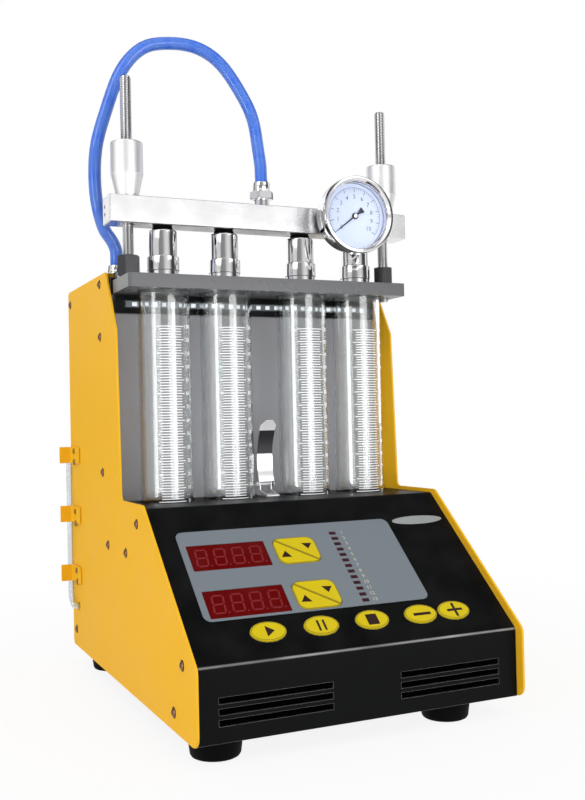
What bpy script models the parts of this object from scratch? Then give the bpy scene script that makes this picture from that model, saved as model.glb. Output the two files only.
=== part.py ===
"""Bench cleaner and tester for fuel injectors, as separate pieces at their real size.

Metres, +Z up, and the front faces -Y. The origin is on the standing surface, under the middle
of the machine's bounding box. Sizes are named below, and every place is worked out from them.
"""

import math

import bmesh
import bpy
from mathutils import Vector

# Body, sheet metal and running fits
BODY_WIDTH = 0.275
BODY_DEPTH = 0.385
SHEET = 0.002
FIT = 0.0003
BEND_RADIUS = 0.002
CUT_OVERRUN = 0.002
WELD_DISTANCE = 0.00001

# How finely round shapes are divided
CORNER_STEPS = 4
CURVE_STEPS = 20
PORT_STEPS = 16
TURNED_STEPS = 20
SMALL_STEPS = 12
SEAT_STEPS = 24
HEX_SIDES = 6
SHARP_ANGLE = math.radians(40)

# Side panel outline, from the nose over the deck and the column to the top
NOSE_HEIGHT = 0.055
DECK_HEIGHT = 0.159
CONSOLE_DEPTH = 0.124
DECK_DEPTH = 0.0665
COLUMN_LEAN = 0.007
SHOULDER_DEPTH = 0.0315
SHOULDER_DROP = 0.054
PANEL_TOP_GAP = 0.009
NOSE_RADIUS = 0.009
DECK_RADIUS = 0.006
SHOULDER_RADIUS = 0.007
REAR_RADIUS = 0.005

# Feet
FOOT_HEIGHT = 0.015
FOOT_DIAMETER = 0.040
FOOT_TREAD_DIAMETER = 0.036
FOOT_EDGE = 0.0015
FOOT_LEFT_INSET = 0.025
FOOT_RIGHT_INSET = 0.055
FOOT_FRONT_INSET = 0.0325
FOOT_BACK_INSET = 0.0595

# Control cover, with its front and slope set inside the side panels' edges
COVER_SETBACK = 0.008
SLOPE_INSET = 0.006
SHELF_INSET = 0.0032
VENT_MARGIN = 0.01695
VENT_HEIGHT = 0.0046
VENT_PITCH = 0.0078
VENT_LOWEST = 0.014
VENT_GAP = 0.0575
VENT_ROWS = 3
REAR_VENT_DROP = 0.086

# Base plate and rear cover
TRAY_FLANGE = 0.012
REAR_INSET = 0.005
REAR_DROP = 0.0055

# Label on the slope, measured up the slope from the lower bend
LABEL_WIDTH = 0.191
LABEL_HEIGHT = 0.0905
LABEL_SIDE_GAP = 0.0182
LABEL_RISE = 0.0385
LABEL_THICKNESS = 0.0005
LABEL_RADIUS = 0.006

# Displays
DISPLAY_WIDTH = 0.065
DISPLAY_HEIGHT = 0.026
DISPLAY_MARGIN = 0.0055
DISPLAY_RADIUS = 0.001
DISPLAY_RISE = 0.0155
DISPLAY_PITCH = 0.0467
DISPLAY_INSET = 0.0003

# Keys
KEY_TRAVEL = 0.0005
KEY_STAND = 0.0006
KEY_SINK = 0.0012
KEY_CROWN = 0.0003
KEY_GAP = 0.0008
ARROW_KEY_WIDTH = 0.037
ARROW_KEY_HEIGHT = 0.0275
ARROW_KEY_RADIUS = 0.007
ARROW_KEY_MARGIN = 0.007
OVAL_KEY_WIDTH = 0.0285
OVAL_KEY_HEIGHT = 0.0178
OVAL_KEY_RISE = 0.0242
OVAL_KEY_FIRST_X = -0.072
OVAL_KEY_GAP = 0.0149
PLUS_KEY_GAP = 0.0022
OVAL_KEY_STEPS = 20

# Control board under the slope
BOARD_THICKNESS = 0.0016
BOARD_DROP = 0.006
BOARD_MARGIN = 0.006
PILLAR_DIAMETER = 0.006
SWITCH_WIDTH = 0.006

# Measuring bay, about the row of tube axes
BAY_SETBACK = 0.0008
BAY_HEIGHT = 0.1837
BLOCK_MARGIN = 0.006
BLOCK_HEIGHT = 0.021
BLOCK_EDGE = 0.001
BACK_MARGIN = 0.0042
BACK_FLANGE = 0.012
DRAIN_DIAMETER = 0.008

# Measuring tubes
TUBE_WALL = 0.0025
TUBE_GAP = 0.0115
MIDDLE_GAP = 0.0294
TUBE_SEAT = 0.005
TUBE_STEPS = 32

# Top plate and light bar
PLATE_THICKNESS = 0.012
PLATE_SIDE_GAP = 0.0015
PLATE_MARGIN = 0.0048
PLATE_RADIUS = 0.0025
PLATE_PORT = 0.018
PLATE_SEAT = 0.003
LIGHT_BAR_HEIGHT = 0.017
LIGHT_BAR_DEPTH = 0.0032
LIGHT_BAR_SIDE_GAP = 0.0025
LIGHT_STRIP_HEIGHT = 0.006
LIGHT_STRIP_DEPTH = 0.0008

# Rods and their nuts
ROD_DIAMETER = 0.010
ROD_INSET = 0.0093
ROD_TUBE_PITCH = 0.031
ROD_LENGTH = 0.1845
ROD_CHAMFER = 0.0008
ROD_SEAT = 0.010
ROD_STEP = 0.005
ROD_NUT_FLATS = 0.017
ROD_NUT_HEIGHT = 0.0179
NUT_CHAMFER = 0.0008
CLAMP_NUT_DIAMETER = 0.028
CLAMP_NUT_FOOT = 0.019
CLAMP_NUT_HEIGHT = 0.0475
CLAMP_CONE_HEIGHT = 0.019
CLAMP_CHAMFER = 0.001

# Injector adapters and seals
ADAPTER_DIAMETER = 0.025
ADAPTER_HEIGHT = 0.0412
ADAPTER_ROUND = 0.002
ADAPTER_BORE = 0.009
COLLAR_DIAMETER = 0.0283
COLLAR_HEIGHT = 0.0177
COLLAR_CHAMFER = 0.0012
SPIGOT_LENGTH = 0.006
SEAL_DIAMETER = 0.018
SEAL_HEIGHT = 0.003
SEAL_ROUND = 0.0006

# Fuel rail
RAIL_OVERHANG = 0.0075
RAIL_DEPTH = 0.025
RAIL_HEIGHT = 0.0236
RAIL_EDGE = 0.0006
RAIL_OUTLET = 0.008
RAIL_OUTLET_DEPTH = 0.014
RAIL_PORT_DEPTH = 0.006
RAIL_END_HOLE = 0.0036
RAIL_END_HOLE_DEPTH = 0.008
RAIL_END_HOLE_PITCH = 0.0066
RAIL_END_HOLE_OFFSET = 0.0056

# Pressure gauge, along its own axis from the back of the case to the front
GAUGE_X = 0.0776
GAUGE_RISE = 0.002
GAUGE_STANDOFF = 0.005
GAUGE_DEPTH = 0.028
GAUGE_STEM = 0.010
CASE_DIAMETER = 0.063
CASE_WALL = 0.0015
CASE_ROUND = 0.004
BEZEL_DIAMETER = 0.0705
BEZEL_OPENING = 0.061
BEZEL_LENGTH = 0.0125
BEZEL_ROUND = 0.0016
BEZEL_FLARE = 0.0015
LIP_DEPTH = 0.0036
LIP_EDGE = 0.0012
LENS_THICKNESS = 0.0018
DIAL_SINK = 0.0045
DIAL_THICKNESS = 0.0008
DIAL_LEDGE = 0.0015
SPINDLE_DIAMETER = 0.0016
NEEDLE_LENGTH = 0.023
NEEDLE_ROOT = 0.0022
NEEDLE_TIP = 0.0006
NEEDLE_TAIL = 0.010
NEEDLE_TAIL_WIDTH = 0.0042
NEEDLE_THICKNESS = 0.0006
NEEDLE_HUB = 0.006
NEEDLE_HUB_HEIGHT = 0.0016
NEEDLE_REST = math.radians(218)
GAUGE_STEPS = 32

# Fuel hose and its fittings
HOSE_DIAMETER = 0.012
HOSE_BEVEL_STEPS = 3
HOSE_SPACING_SHARE = 2.0
FITTING_FLATS = 0.020
FITTING_HEX_HEIGHT = 0.007
FITTING_BOSS = 0.014
FITTING_BOSS_HEIGHT = 0.0065
FITTING_SLEEVE = 0.016
FITTING_SLEEVE_HEIGHT = 0.009
FITTING_SPIGOT = 0.009
FITTING_CHAMFER = 0.0013
HOUSING_HEX_HEIGHT = 0.0055
HOUSING_SLEEVE_HEIGHT = 0.0072
HOUSING_PORT_INSET = 0.0107
HOUSING_PORT_SETBACK = 0.0197

# Latch between the two middle tubes
LATCH_PIN_REACH = 0.0062
LATCH_PIN_RISE = 0.0107
LATCH_PIN_DIAMETER = 0.003
LATCH_HEAD_DIAMETER = 0.0044
LATCH_HEAD_LENGTH = 0.0009
LATCH_SHEET = 0.0012
LATCH_EAR_RADIUS = 0.0026
LATCH_NECK_WIDTH = 0.0022
LATCH_NECK_DROP = 0.0052
LATCH_FOOT_REACH = 0.019
LATCH_FOOT_HEEL = 0.005
LEVER_WIDTH = 0.015
LEVER_LENGTH = 0.055
LEVER_LEAN = 0.0102
LEVER_SAG = 0.008
LEVER_STANDOFF = 0.0044
LEVER_RISE = 0.0025
LEVER_TIP_ROUND = 0.0045
LEVER_CHEEK_SHARE = 0.22
LEVER_STEPS = 12
TIP_OUTSET_SHARE = 0.3

# Level tube and its clips, on the left side panel
LEVEL_TUBE_DIAMETER = 0.0062
LEVEL_TUBE_TOP = 0.185
LEVEL_TUBE_BOTTOM = 0.0421
LEVEL_TUBE_BACK = 0.0058
LEVEL_TUBE_RUN = 0.0208
LEVEL_TUBE_BEND = 0.0158
LEVEL_TUBE_ENTRY_BEND = 0.005
LEVEL_TUBE_END = 0.0018
LEVEL_HOLE_DIAMETER = 0.009
CLIP_SHEET = 0.0015
CLIP_HEIGHT = 0.0165
CLIP_LEG = 0.033
CLIP_REACH = 0.0134
CLIP_LOWEST = 0.074
CLIP_PITCH = 0.0598
CLIP_COUNT = 3

# Fluid tank in the lower back
TANK_WIDTH = 0.160
TANK_DEPTH = 0.130
TANK_HEIGHT = 0.105
TANK_EDGE = 0.006
TANK_SIDE_GAP = 0.0018
TANK_BACK_GAP = 0.001

# Power inlet module on the back, with its rocker switch
INLET_X = 0.085
INLET_RISE = 0.060
INLET_WIDTH = 0.031
INLET_HEIGHT = 0.056
INLET_FLANGE = 0.0025
INLET_RADIUS = 0.003
INLET_BODY_DEPTH = 0.024
INLET_BODY_MARGIN = 0.0022
SOCKET_WIDTH = 0.0244
SOCKET_HEIGHT = 0.0166
SOCKET_DEPTH = 0.017
SOCKET_CHAMFER = 0.004
SOCKET_OFFSET = 0.0125
ROCKER_WIDTH = 0.0125
ROCKER_HEIGHT = 0.019
ROCKER_DEPTH = 0.007
ROCKER_STAND = 0.0012
ROCKER_DIP = 0.0012
ROCKER_ROUND = 0.0004
ROCKER_GAP = 0.0007
ROCKER_WELL = 0.011
ROCKER_OFFSET = 0.0125
ROCKER_TILT = math.radians(7)

# Route of the hose's middle line, from the rail to the rear cover, as it hangs
HOSE_ROUTE = [
    (0.0, -0.0012, 0.4583),
    (-0.0002, -0.0008, 0.4720),
    (-0.0014, 0.0007, 0.4867),
    (-0.0051, 0.0037, 0.5170),
    (-0.0153, 0.0068, 0.5412),
    (-0.0327, 0.0110, 0.5673),
    (-0.0532, 0.0151, 0.5809),
    (-0.0788, 0.0192, 0.5835),
    (-0.1030, 0.0233, 0.5772),
    (-0.1218, 0.0275, 0.5559),
    (-0.1354, 0.0306, 0.5200),
    (-0.1447, 0.0336, 0.4837),
    (-0.1445, 0.0378, 0.4460),
    (-0.1374, 0.0419, 0.4178),
    (-0.1282, 0.0446, 0.4045),
    (-0.1245, 0.0457, 0.3953),
    (-0.1245, 0.0457, 0.3833),
]

# Places worked out from the sizes above
HALF_WIDTH = BODY_WIDTH / 2
INNER_X = HALF_WIDTH - SHEET
FITTED_X = INNER_X - FIT
FRONT_Y = -BODY_DEPTH / 2
BACK_Y = BODY_DEPTH / 2
BOTTOM_Z = FOOT_HEIGHT
NOSE_Z = BOTTOM_Z + NOSE_HEIGHT
DECK_Z = BOTTOM_Z + DECK_HEIGHT
CONSOLE_Y = FRONT_Y + CONSOLE_DEPTH
COLUMN_Y = CONSOLE_Y + DECK_DEPTH
SHOULDER_Y = COLUMN_Y + COLUMN_LEAN
TOP_Y = SHOULDER_Y + SHOULDER_DEPTH
FOOT_LEFT_X = FOOT_LEFT_INSET - HALF_WIDTH
FOOT_RIGHT_X = HALF_WIDTH - FOOT_RIGHT_INSET
FOOT_FRONT_Y = FRONT_Y + FOOT_FRONT_INSET
FOOT_BACK_Y = BACK_Y - FOOT_BACK_INSET
VENT_WIDTH = FITTED_X - VENT_MARGIN - VENT_GAP / 2

SLOPE_ANGLE = math.atan2(DECK_Z - NOSE_Z, CONSOLE_Y - FRONT_Y)
SLOPE_START_Y = FRONT_Y + SLOPE_INSET * math.sin(SLOPE_ANGLE)
SLOPE_START_Z = NOSE_Z - SLOPE_INSET * math.cos(SLOPE_ANGLE)
COVER_Y = FRONT_Y + COVER_SETBACK
SHELF_Z = DECK_Z - SHELF_INSET
LOW_BEND_Z = SLOPE_START_Z + (COVER_Y - SLOPE_START_Y) * math.tan(SLOPE_ANGLE)
HIGH_BEND_Y = SLOPE_START_Y + (SHELF_Z - SLOPE_START_Z) / math.tan(SLOPE_ANGLE)
LABEL_TOP = FIT + LABEL_THICKNESS
LABEL_LEFT_X = LABEL_SIDE_GAP - FITTED_X
LABEL_CENTRE_X = LABEL_LEFT_X + LABEL_WIDTH / 2
DISPLAY_CENTRE_X = LABEL_LEFT_X + DISPLAY_MARGIN + DISPLAY_WIDTH / 2
DISPLAY_RIGHT_X = DISPLAY_CENTRE_X + DISPLAY_WIDTH / 2
ARROW_KEY_CENTRE_X = DISPLAY_RIGHT_X + ARROW_KEY_MARGIN + ARROW_KEY_WIDTH / 2

ROD_X = INNER_X - ROD_INSET
OUTER_TUBE_X = ROD_X - ROD_TUBE_PITCH
TUBE_DIAMETER = (OUTER_TUBE_X - MIDDLE_GAP / 2 - TUBE_GAP) * 2 / 3
INNER_TUBE_X = (MIDDLE_GAP + TUBE_DIAMETER) / 2
TUBE_XS = [-OUTER_TUBE_X, -INNER_TUBE_X, INNER_TUBE_X, OUTER_TUBE_X]

BAY_AXIS_Y = COLUMN_Y + BAY_SETBACK
BLOCK_FRONT_Y = BAY_AXIS_Y - TUBE_DIAMETER / 2 - BLOCK_MARGIN
BACK_PANEL_Y = BAY_AXIS_Y + TUBE_DIAMETER / 2 + BACK_MARGIN
BLOCK_BACK_Y = BACK_PANEL_Y - FIT
BLOCK_BOTTOM_Z = SHELF_Z - BLOCK_HEIGHT
PLATE_Z = SHELF_Z + BAY_HEIGHT
PLATE_FRONT_Y = BAY_AXIS_Y - TUBE_DIAMETER / 2 - PLATE_MARGIN
PLATE_TOP_Z = PLATE_Z + PLATE_THICKNESS
TOP_Z = PLATE_TOP_Z + PANEL_TOP_GAP
SHOULDER_Z = TOP_Z - SHOULDER_DROP
TUBE_SEAT_DIAMETER = TUBE_DIAMETER + 4 * FIT
TUBE_BOTTOM_Z = SHELF_Z - TUBE_SEAT + FIT
TUBE_TOP_Z = PLATE_Z + PLATE_SEAT - FIT
ROD_HOLE = ROD_DIAMETER + 2 * FIT
REAR_PANEL_Y = BACK_Y - REAR_INSET
REAR_TOP_Z = TOP_Z - REAR_DROP
HOUSING_PORT_X = HOUSING_PORT_INSET - FITTED_X
HOUSING_PORT_Y = BACK_PANEL_Y + HOUSING_PORT_SETBACK

ADAPTER_Z = PLATE_TOP_Z + FIT
SEAL_Z = ADAPTER_Z + ADAPTER_HEIGHT + FIT
RAIL_Z = SEAL_Z + SEAL_HEIGHT + FIT
RAIL_TOP_Z = RAIL_Z + RAIL_HEIGHT
RAIL_FRONT_Y = BAY_AXIS_Y - RAIL_DEPTH / 2
RAIL_LENGTH = BODY_WIDTH + 2 * RAIL_OVERHANG
CLAMP_NUT_Z = RAIL_TOP_Z + FIT

GAUGE_BACK_Y = RAIL_FRONT_Y - GAUGE_STANDOFF
GAUGE_Z = RAIL_Z + RAIL_HEIGHT / 2 + GAUGE_RISE
CASE_RADIUS = CASE_DIAMETER / 2
CASE_BORE = CASE_RADIUS - CASE_WALL
LENS_FRONT = GAUGE_DEPTH - LIP_DEPTH - FIT
LENS_BACK = LENS_FRONT - LENS_THICKNESS
CASE_RIM = LENS_BACK - FIT
DIAL_FRONT = CASE_RIM - DIAL_SINK
DIAL_BACK = DIAL_FRONT - DIAL_THICKNESS
SPINDLE_HOLE = SPINDLE_DIAMETER + 2 * FIT

LATCH_PIN_Y = BAY_AXIS_Y + LATCH_PIN_REACH
LATCH_PIN_Z = SHELF_Z + LATCH_PIN_RISE
LATCH_FOOT_Z = FIT - LATCH_PIN_RISE
CHEEK_X = LEVER_WIDTH / 2 - LATCH_SHEET / 2
EAR_X = CHEEK_X - LATCH_SHEET - FIT

LEVEL_TUBE_X = -HALF_WIDTH - FIT - LEVEL_TUBE_DIAMETER / 2
LEVEL_TUBE_Y = BACK_Y - LEVEL_TUBE_BACK
LEVEL_HOLE_Y = LEVEL_TUBE_Y - LEVEL_TUBE_RUN
LEVEL_HOLE_Z = BOTTOM_Z + LEVEL_TUBE_BOTTOM
CLIP_FACE_X = -HALF_WIDTH - FIT
CLIP_BACK_Y = LEVEL_TUBE_Y - LEVEL_TUBE_DIAMETER / 2 - FIT

CLIP_OVERHANG = CLIP_REACH + FIT
MACHINE_X = (CLIP_OVERHANG - RAIL_OVERHANG) / 2

# Turns that lay a flat outline across the machine, on the front, or on the back
ACROSS = (math.pi / 2, 0.0, math.pi / 2)
FORWARD = (math.pi / 2, 0.0, 0.0)
REARWARD = (math.pi / 2, 0.0, math.pi)


def clear_scene():
    """Remove every object that the scene starts with."""
    for obj in list(bpy.data.objects):
        bpy.data.objects.remove(obj, do_unlink=True)


def new_collection(name):
    """Make a collection under the scene's own."""
    collection = bpy.data.collections.new(name)
    bpy.context.scene.collection.children.link(collection)
    return collection


def new_material(name, colour, roughness, metallic=0.0, transmission=0.0):
    """Make a Principled BSDF material."""
    material = bpy.data.materials.new(name)
    material.use_nodes = True
    shader = material.node_tree.nodes["Principled BSDF"]
    shader.inputs["Base Color"].default_value = (*colour, 1.0)
    shader.inputs["Roughness"].default_value = roughness
    shader.inputs["Metallic"].default_value = metallic
    shader.inputs["Transmission Weight"].default_value = transmission
    material.diffuse_color = (*colour, 1.0)
    return material


def new_materials():
    """The finishes, by name."""
    return {
        "yellow": new_material("yellow_paint", (0.83, 0.42, 0.02), 0.35),
        "black": new_material("black_paint", (0.014, 0.016, 0.019), 0.4),
        "grey": new_material("grey_paint", (0.22, 0.23, 0.24), 0.5),
        "plate": new_material("dark_plate", (0.05, 0.05, 0.055), 0.35, 0.4),
        "label": new_material("grey_label", (0.26, 0.30, 0.35), 0.45),
        "display": new_material("red_display", (0.14, 0.002, 0.008), 0.15),
        "key": new_material("key_yellow", (0.92, 0.68, 0.01), 0.4),
        "glass": new_material("tube_glass", (0.9, 0.93, 0.94), 0.03, 0.0, 1.0),
        "aluminium": new_material("satin_aluminium", (0.72, 0.73, 0.74), 0.28, 1.0),
        "polished": new_material("polished_metal", (0.78, 0.79, 0.8), 0.12, 1.0),
        "zinc": new_material("zinc_steel", (0.5, 0.5, 0.51), 0.3, 1.0),
        "black_steel": new_material("black_steel", (0.03, 0.03, 0.035), 0.35, 0.8),
        "rubber": new_material("black_rubber", (0.012, 0.012, 0.013), 0.7),
        "dial": new_material("dial_face", (0.66, 0.73, 0.95), 0.5),
        "needle": new_material("needle_black", (0.02, 0.02, 0.03), 0.4),
        "hose": new_material("blue_hose", (0.01, 0.1, 0.75), 0.3),
        "clear": new_material("clear_tube", (0.85, 0.87, 0.88), 0.1, 0.0, 0.9),
        "plastic": new_material("black_plastic", (0.02, 0.02, 0.022), 0.4),
        "tank": new_material("tank_plastic", (0.75, 0.76, 0.74), 0.5),
    }


class Shop:
    """What every piece needs: the collections, the finishes and the parent that carries it."""

    def __init__(self):
        self.parts = new_collection("injector_tester")
        self.cutters = new_collection("cutters")
        self.cutters.hide_render = True
        self.finishes = new_materials()
        self.machine = self.new_empty("machine", (MACHINE_X, 0.0, 0.0), (0.0, 0.0, 0.0), None)

    def new_empty(self, name, location, rotation, parent):
        """Make an empty that carries pieces."""
        empty = bpy.data.objects.new(name, None)
        self.parts.objects.link(empty)
        empty.parent = parent
        empty.location = location
        empty.rotation_euler = rotation
        return empty

    def add(self, name, data, finish, location=(0, 0, 0), rotation=(0, 0, 0), parent=None):
        """Make a piece with a finish, or a cutter where the finish is None."""
        obj = bpy.data.objects.new(name, data)
        collection = self.parts if finish else self.cutters
        collection.objects.link(obj)
        obj.parent = parent or self.machine
        obj.location = location
        obj.rotation_euler = rotation
        if finish:
            data.materials.append(self.finishes[finish])
        else:
            obj.hide_render = True
            obj.display_type = "WIRE"
        return obj


def rounded_corner(before, corner, after, radius):
    """Points of the arc that rounds one corner, flat or in space."""
    corner = Vector(corner)
    first = (Vector(before) - corner).normalized()
    second = (Vector(after) - corner).normalized()
    half = first.angle(second) / 2
    if radius <= 0:
        return [corner]
    reach = radius / math.tan(half)
    centre = corner + (first + second).normalized() * radius / math.sin(half)
    start = corner + first * reach - centre
    end = corner + second * reach - centre
    turn = start.angle(end)
    points = []
    for step in range(CORNER_STEPS + 1):
        share = step / CORNER_STEPS
        mixed = start * math.sin((1 - share) * turn) + end * math.sin(share * turn)
        points.append(centre + mixed / math.sin(turn))
    return points


def rounded_outline(corners):
    """Closed outline through (x, y, radius) corners."""
    points = []
    for index, (x, y, radius) in enumerate(corners):
        before = corners[index - 1][:2]
        after = corners[(index + 1) % len(corners)][:2]
        points += rounded_corner(before, (x, y), after, radius)
    return points


def rounded_path(points, radii):
    """Open path whose inner corners are rounded, one radius for each."""
    path = [Vector(points[0])]
    for index, radius in enumerate(radii, start=1):
        path += rounded_corner(points[index - 1], points[index], points[index + 1], radius)
    path.append(Vector(points[-1]))
    return path


def offset_path(points, distance):
    """Flat open path moved to its left by a distance."""
    points = [Vector(point) for point in points]
    normals = []
    for start, end in zip(points, points[1:]):
        along = (end - start).normalized()
        normals.append(Vector((-along.y, along.x)))
    moved = [points[0] + normals[0] * distance]
    for index in range(1, len(points) - 1):
        both = normals[index - 1] + normals[index]
        reach = 1 + normals[index - 1].dot(normals[index])
        moved.append(points[index] + both * distance / reach)
    moved.append(points[-1] + normals[-1] * distance)
    return moved


def bent_strip(points, thickness, side):
    """Outline of a bent sheet whose outer face follows the points; side 1 thickens it to the left."""
    bends = len(points) - 2
    outer = rounded_path(points, [BEND_RADIUS + thickness] * bends)
    inner = rounded_path(offset_path(points, side * thickness), [BEND_RADIUS] * bends)
    return outer + inner[::-1]


def rectangle(width, height, radius, centre=(0.0, 0.0)):
    """Rounded rectangle as a closed outline."""
    x, y = centre
    return rounded_outline(
        [
            (x - width / 2, y - height / 2, radius),
            (x + width / 2, y - height / 2, radius),
            (x + width / 2, y + height / 2, radius),
            (x - width / 2, y + height / 2, radius),
        ]
    )


def ellipse(width, height, centre=(0.0, 0.0), steps=OVAL_KEY_STEPS):
    """Ellipse as a closed outline."""
    points = []
    for step in range(steps):
        angle = 2 * math.pi * step / steps
        x = centre[0] + width / 2 * math.cos(angle)
        y = centre[1] + height / 2 * math.sin(angle)
        points.append(Vector((x, y)))
    return points


def clipped(outline, point, normal):
    """The part of a convex outline on the side of a line that its normal points to."""
    kept = []
    point, normal = Vector(point), Vector(normal).normalized()
    for start, end in zip(outline, outline[1:] + outline[:1]):
        start_height = (start - point).dot(normal)
        end_height = (end - point).dot(normal)
        if start_height >= 0:
            kept.append(start)
        if start_height * end_height < 0:
            kept.append(start.lerp(end, start_height / (start_height - end_height)))
    return kept


def convex_hull(points):
    """Smallest convex outline round some flat points."""
    ordered = sorted((point[0], point[1]) for point in points)
    halves = []
    for run in (ordered, ordered[::-1]):
        half = []
        for point in run:
            while len(half) > 1 and turn_of(half[-2], half[-1], point) <= 0:
                half.pop()
            half.append(point)
        halves += half[:-1]
    return [Vector(point) for point in halves]


def turn_of(first, second, third):
    """Positive where three flat points turn left."""
    return (second[0] - first[0]) * (third[1] - first[1]) - (second[1] - first[1]) * (
        third[0] - first[0]
    )


def flat_piece(shop, name, loops, thickness, finish, **placing):
    """Flat outline with holes, as a filled curve with a thickness about its own plane."""
    curve = bpy.data.curves.new(name, "CURVE")
    curve.dimensions = "2D"
    curve.fill_mode = "BOTH"
    curve.extrude = thickness / 2
    for loop in loops:
        spline = curve.splines.new("POLY")
        spline.points.add(len(loop) - 1)
        for point, place in zip(spline.points, loop):
            point.co = (place[0], place[1], 0.0, 1.0)
        spline.use_cyclic_u = True
    return shop.add(name, curve, finish, **placing)


def as_mesh(obj):
    """Replace a curve object by the closed mesh that it draws."""
    bpy.context.view_layer.update()
    graph = bpy.context.evaluated_depsgraph_get()
    mesh = bpy.data.meshes.new_from_object(obj.evaluated_get(graph))
    shape = bmesh.new()
    shape.from_mesh(mesh)
    bmesh.ops.remove_doubles(shape, verts=shape.verts, dist=WELD_DISTANCE)
    bmesh.ops.recalc_face_normals(shape, faces=shape.faces)
    shape.to_mesh(mesh)
    shape.free()
    name = obj.name
    made = bpy.data.objects.new(name, mesh)
    for collection in obj.users_collection:
        collection.objects.link(made)
    made.parent = obj.parent
    made.location = obj.location
    made.rotation_euler = obj.rotation_euler
    made.hide_render = obj.hide_render
    made.display_type = obj.display_type
    bpy.data.objects.remove(obj, do_unlink=True)
    made.name = name
    return made


def prism(shop, name, loops, thickness, finish, **placing):
    """Flat piece that is a mesh, so that it can be cut or can cut."""
    return as_mesh(flat_piece(shop, name, loops, thickness, finish, **placing))


def box(shop, name, size, finish, **placing):
    """Box about its own middle."""
    mesh = bpy.data.meshes.new(name)
    shape = bmesh.new()
    bmesh.ops.create_cube(shape, size=1)
    bmesh.ops.scale(shape, vec=Vector(size), verts=shape.verts)
    shape.to_mesh(mesh)
    shape.free()
    return shop.add(name, mesh, finish, **placing)


def cylinder(shop, name, diameter, length, finish, steps=PORT_STEPS, **placing):
    """Cylinder along its own Z, about its middle."""
    mesh = bpy.data.meshes.new(name)
    shape = bmesh.new()
    radius = diameter / 2
    bmesh.ops.create_cone(
        shape, cap_ends=True, segments=steps, radius1=radius, radius2=radius, depth=length
    )
    shape.to_mesh(mesh)
    shape.free()
    mesh.shade_smooth()
    mesh.set_sharp_from_angle(angle=SHARP_ANGLE)
    return shop.add(name, mesh, finish, **placing)


def turned(shop, name, profile, finish, steps=TURNED_STEPS, closed=False, **placing):
    """Turned piece: a (radius, height) profile that runs down its outer side, about Z."""
    mesh = bpy.data.meshes.new(name)
    count = len(profile)
    edges = [(index, index + 1) for index in range(count - 1)]
    if closed:
        edges.append((count - 1, 0))
    mesh.from_pydata([(radius, 0.0, height) for radius, height in profile], edges, [])
    obj = shop.add(name, mesh, finish, **placing)
    screw = obj.modifiers.new("turn", "SCREW")
    screw.steps = steps
    screw.render_steps = steps
    screw.use_merge_vertices = True
    screw.merge_threshold = WELD_DISTANCE
    screw.use_smooth_shade = True
    return obj


def tube(shop, name, path, diameter, finish, resolution=2, **placing):
    """Round rod or tube along a path."""
    curve = bpy.data.curves.new(name, "CURVE")
    curve.dimensions = "3D"
    curve.bevel_depth = diameter / 2
    curve.bevel_resolution = resolution
    curve.use_fill_caps = True
    spline = curve.splines.new("POLY")
    spline.points.add(len(path) - 1)
    for point, place in zip(spline.points, path):
        point.co = (*place, 1.0)
    return shop.add(name, curve, finish, **placing)


def rounded(obj, width, segments=2):
    """Round a piece's sharp edges."""
    bevel = obj.modifiers.new("round", "BEVEL")
    bevel.width = width
    bevel.segments = segments
    bevel.limit_method = "ANGLE"
    bevel.angle_limit = SHARP_ANGLE
    return obj


def combined(shop, target, tools, operation):
    """Cut the tools from the target, or join them to it."""
    group = bpy.data.collections.new(f"{target.name}_{operation.lower()}")
    shop.cutters.children.link(group)
    for tool in tools:
        tool.hide_render = True
        tool.display_type = "WIRE"
        for collection in list(tool.users_collection):
            collection.objects.unlink(tool)
        group.objects.link(tool)
    change = target.modifiers.new(operation.lower(), "BOOLEAN")
    change.operation = operation
    change.operand_type = "COLLECTION"
    change.collection = group
    return target


def build_side_panels(shop):
    """Two sheet panels with the sloped nose, the deck and the leaning column."""
    outline = rounded_outline(
        [
            (FRONT_Y, BOTTOM_Z, NOSE_RADIUS),
            (BACK_Y, BOTTOM_Z, REAR_RADIUS),
            (BACK_Y, TOP_Z, REAR_RADIUS),
            (TOP_Y, TOP_Z, DECK_RADIUS),
            (SHOULDER_Y, SHOULDER_Z, SHOULDER_RADIUS),
            (COLUMN_Y, DECK_Z, REAR_RADIUS),
            (CONSOLE_Y, DECK_Z, DECK_RADIUS),
            (FRONT_Y, NOSE_Z, NOSE_RADIUS),
        ]
    )
    level_hole = ellipse(LEVEL_HOLE_DIAMETER, LEVEL_HOLE_DIAMETER, (LEVEL_HOLE_Y, LEVEL_HOLE_Z))
    sides = {"left": (-1, [outline, level_hole]), "right": (1, [outline])}
    for side, (sign, loops) in sides.items():
        location = (sign * (HALF_WIDTH - SHEET / 2), 0, 0)
        name = f"side_panel_{side}"
        flat_piece(shop, name, loops, SHEET, "yellow", location=location, rotation=ACROSS)


def build_base_plate(shop):
    """Sheet tray between the side panels, with a flange behind each cover."""
    front = COVER_Y + SHEET + FIT
    back = REAR_PANEL_Y - SHEET - FIT
    path = [
        (front, BOTTOM_Z + TRAY_FLANGE),
        (front, BOTTOM_Z),
        (back, BOTTOM_Z),
        (back, BOTTOM_Z + TRAY_FLANGE),
    ]
    outline = bent_strip(path, SHEET, 1)
    flat_piece(shop, "base_plate", [outline], 2 * FITTED_X, "black", rotation=ACROSS)


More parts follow.
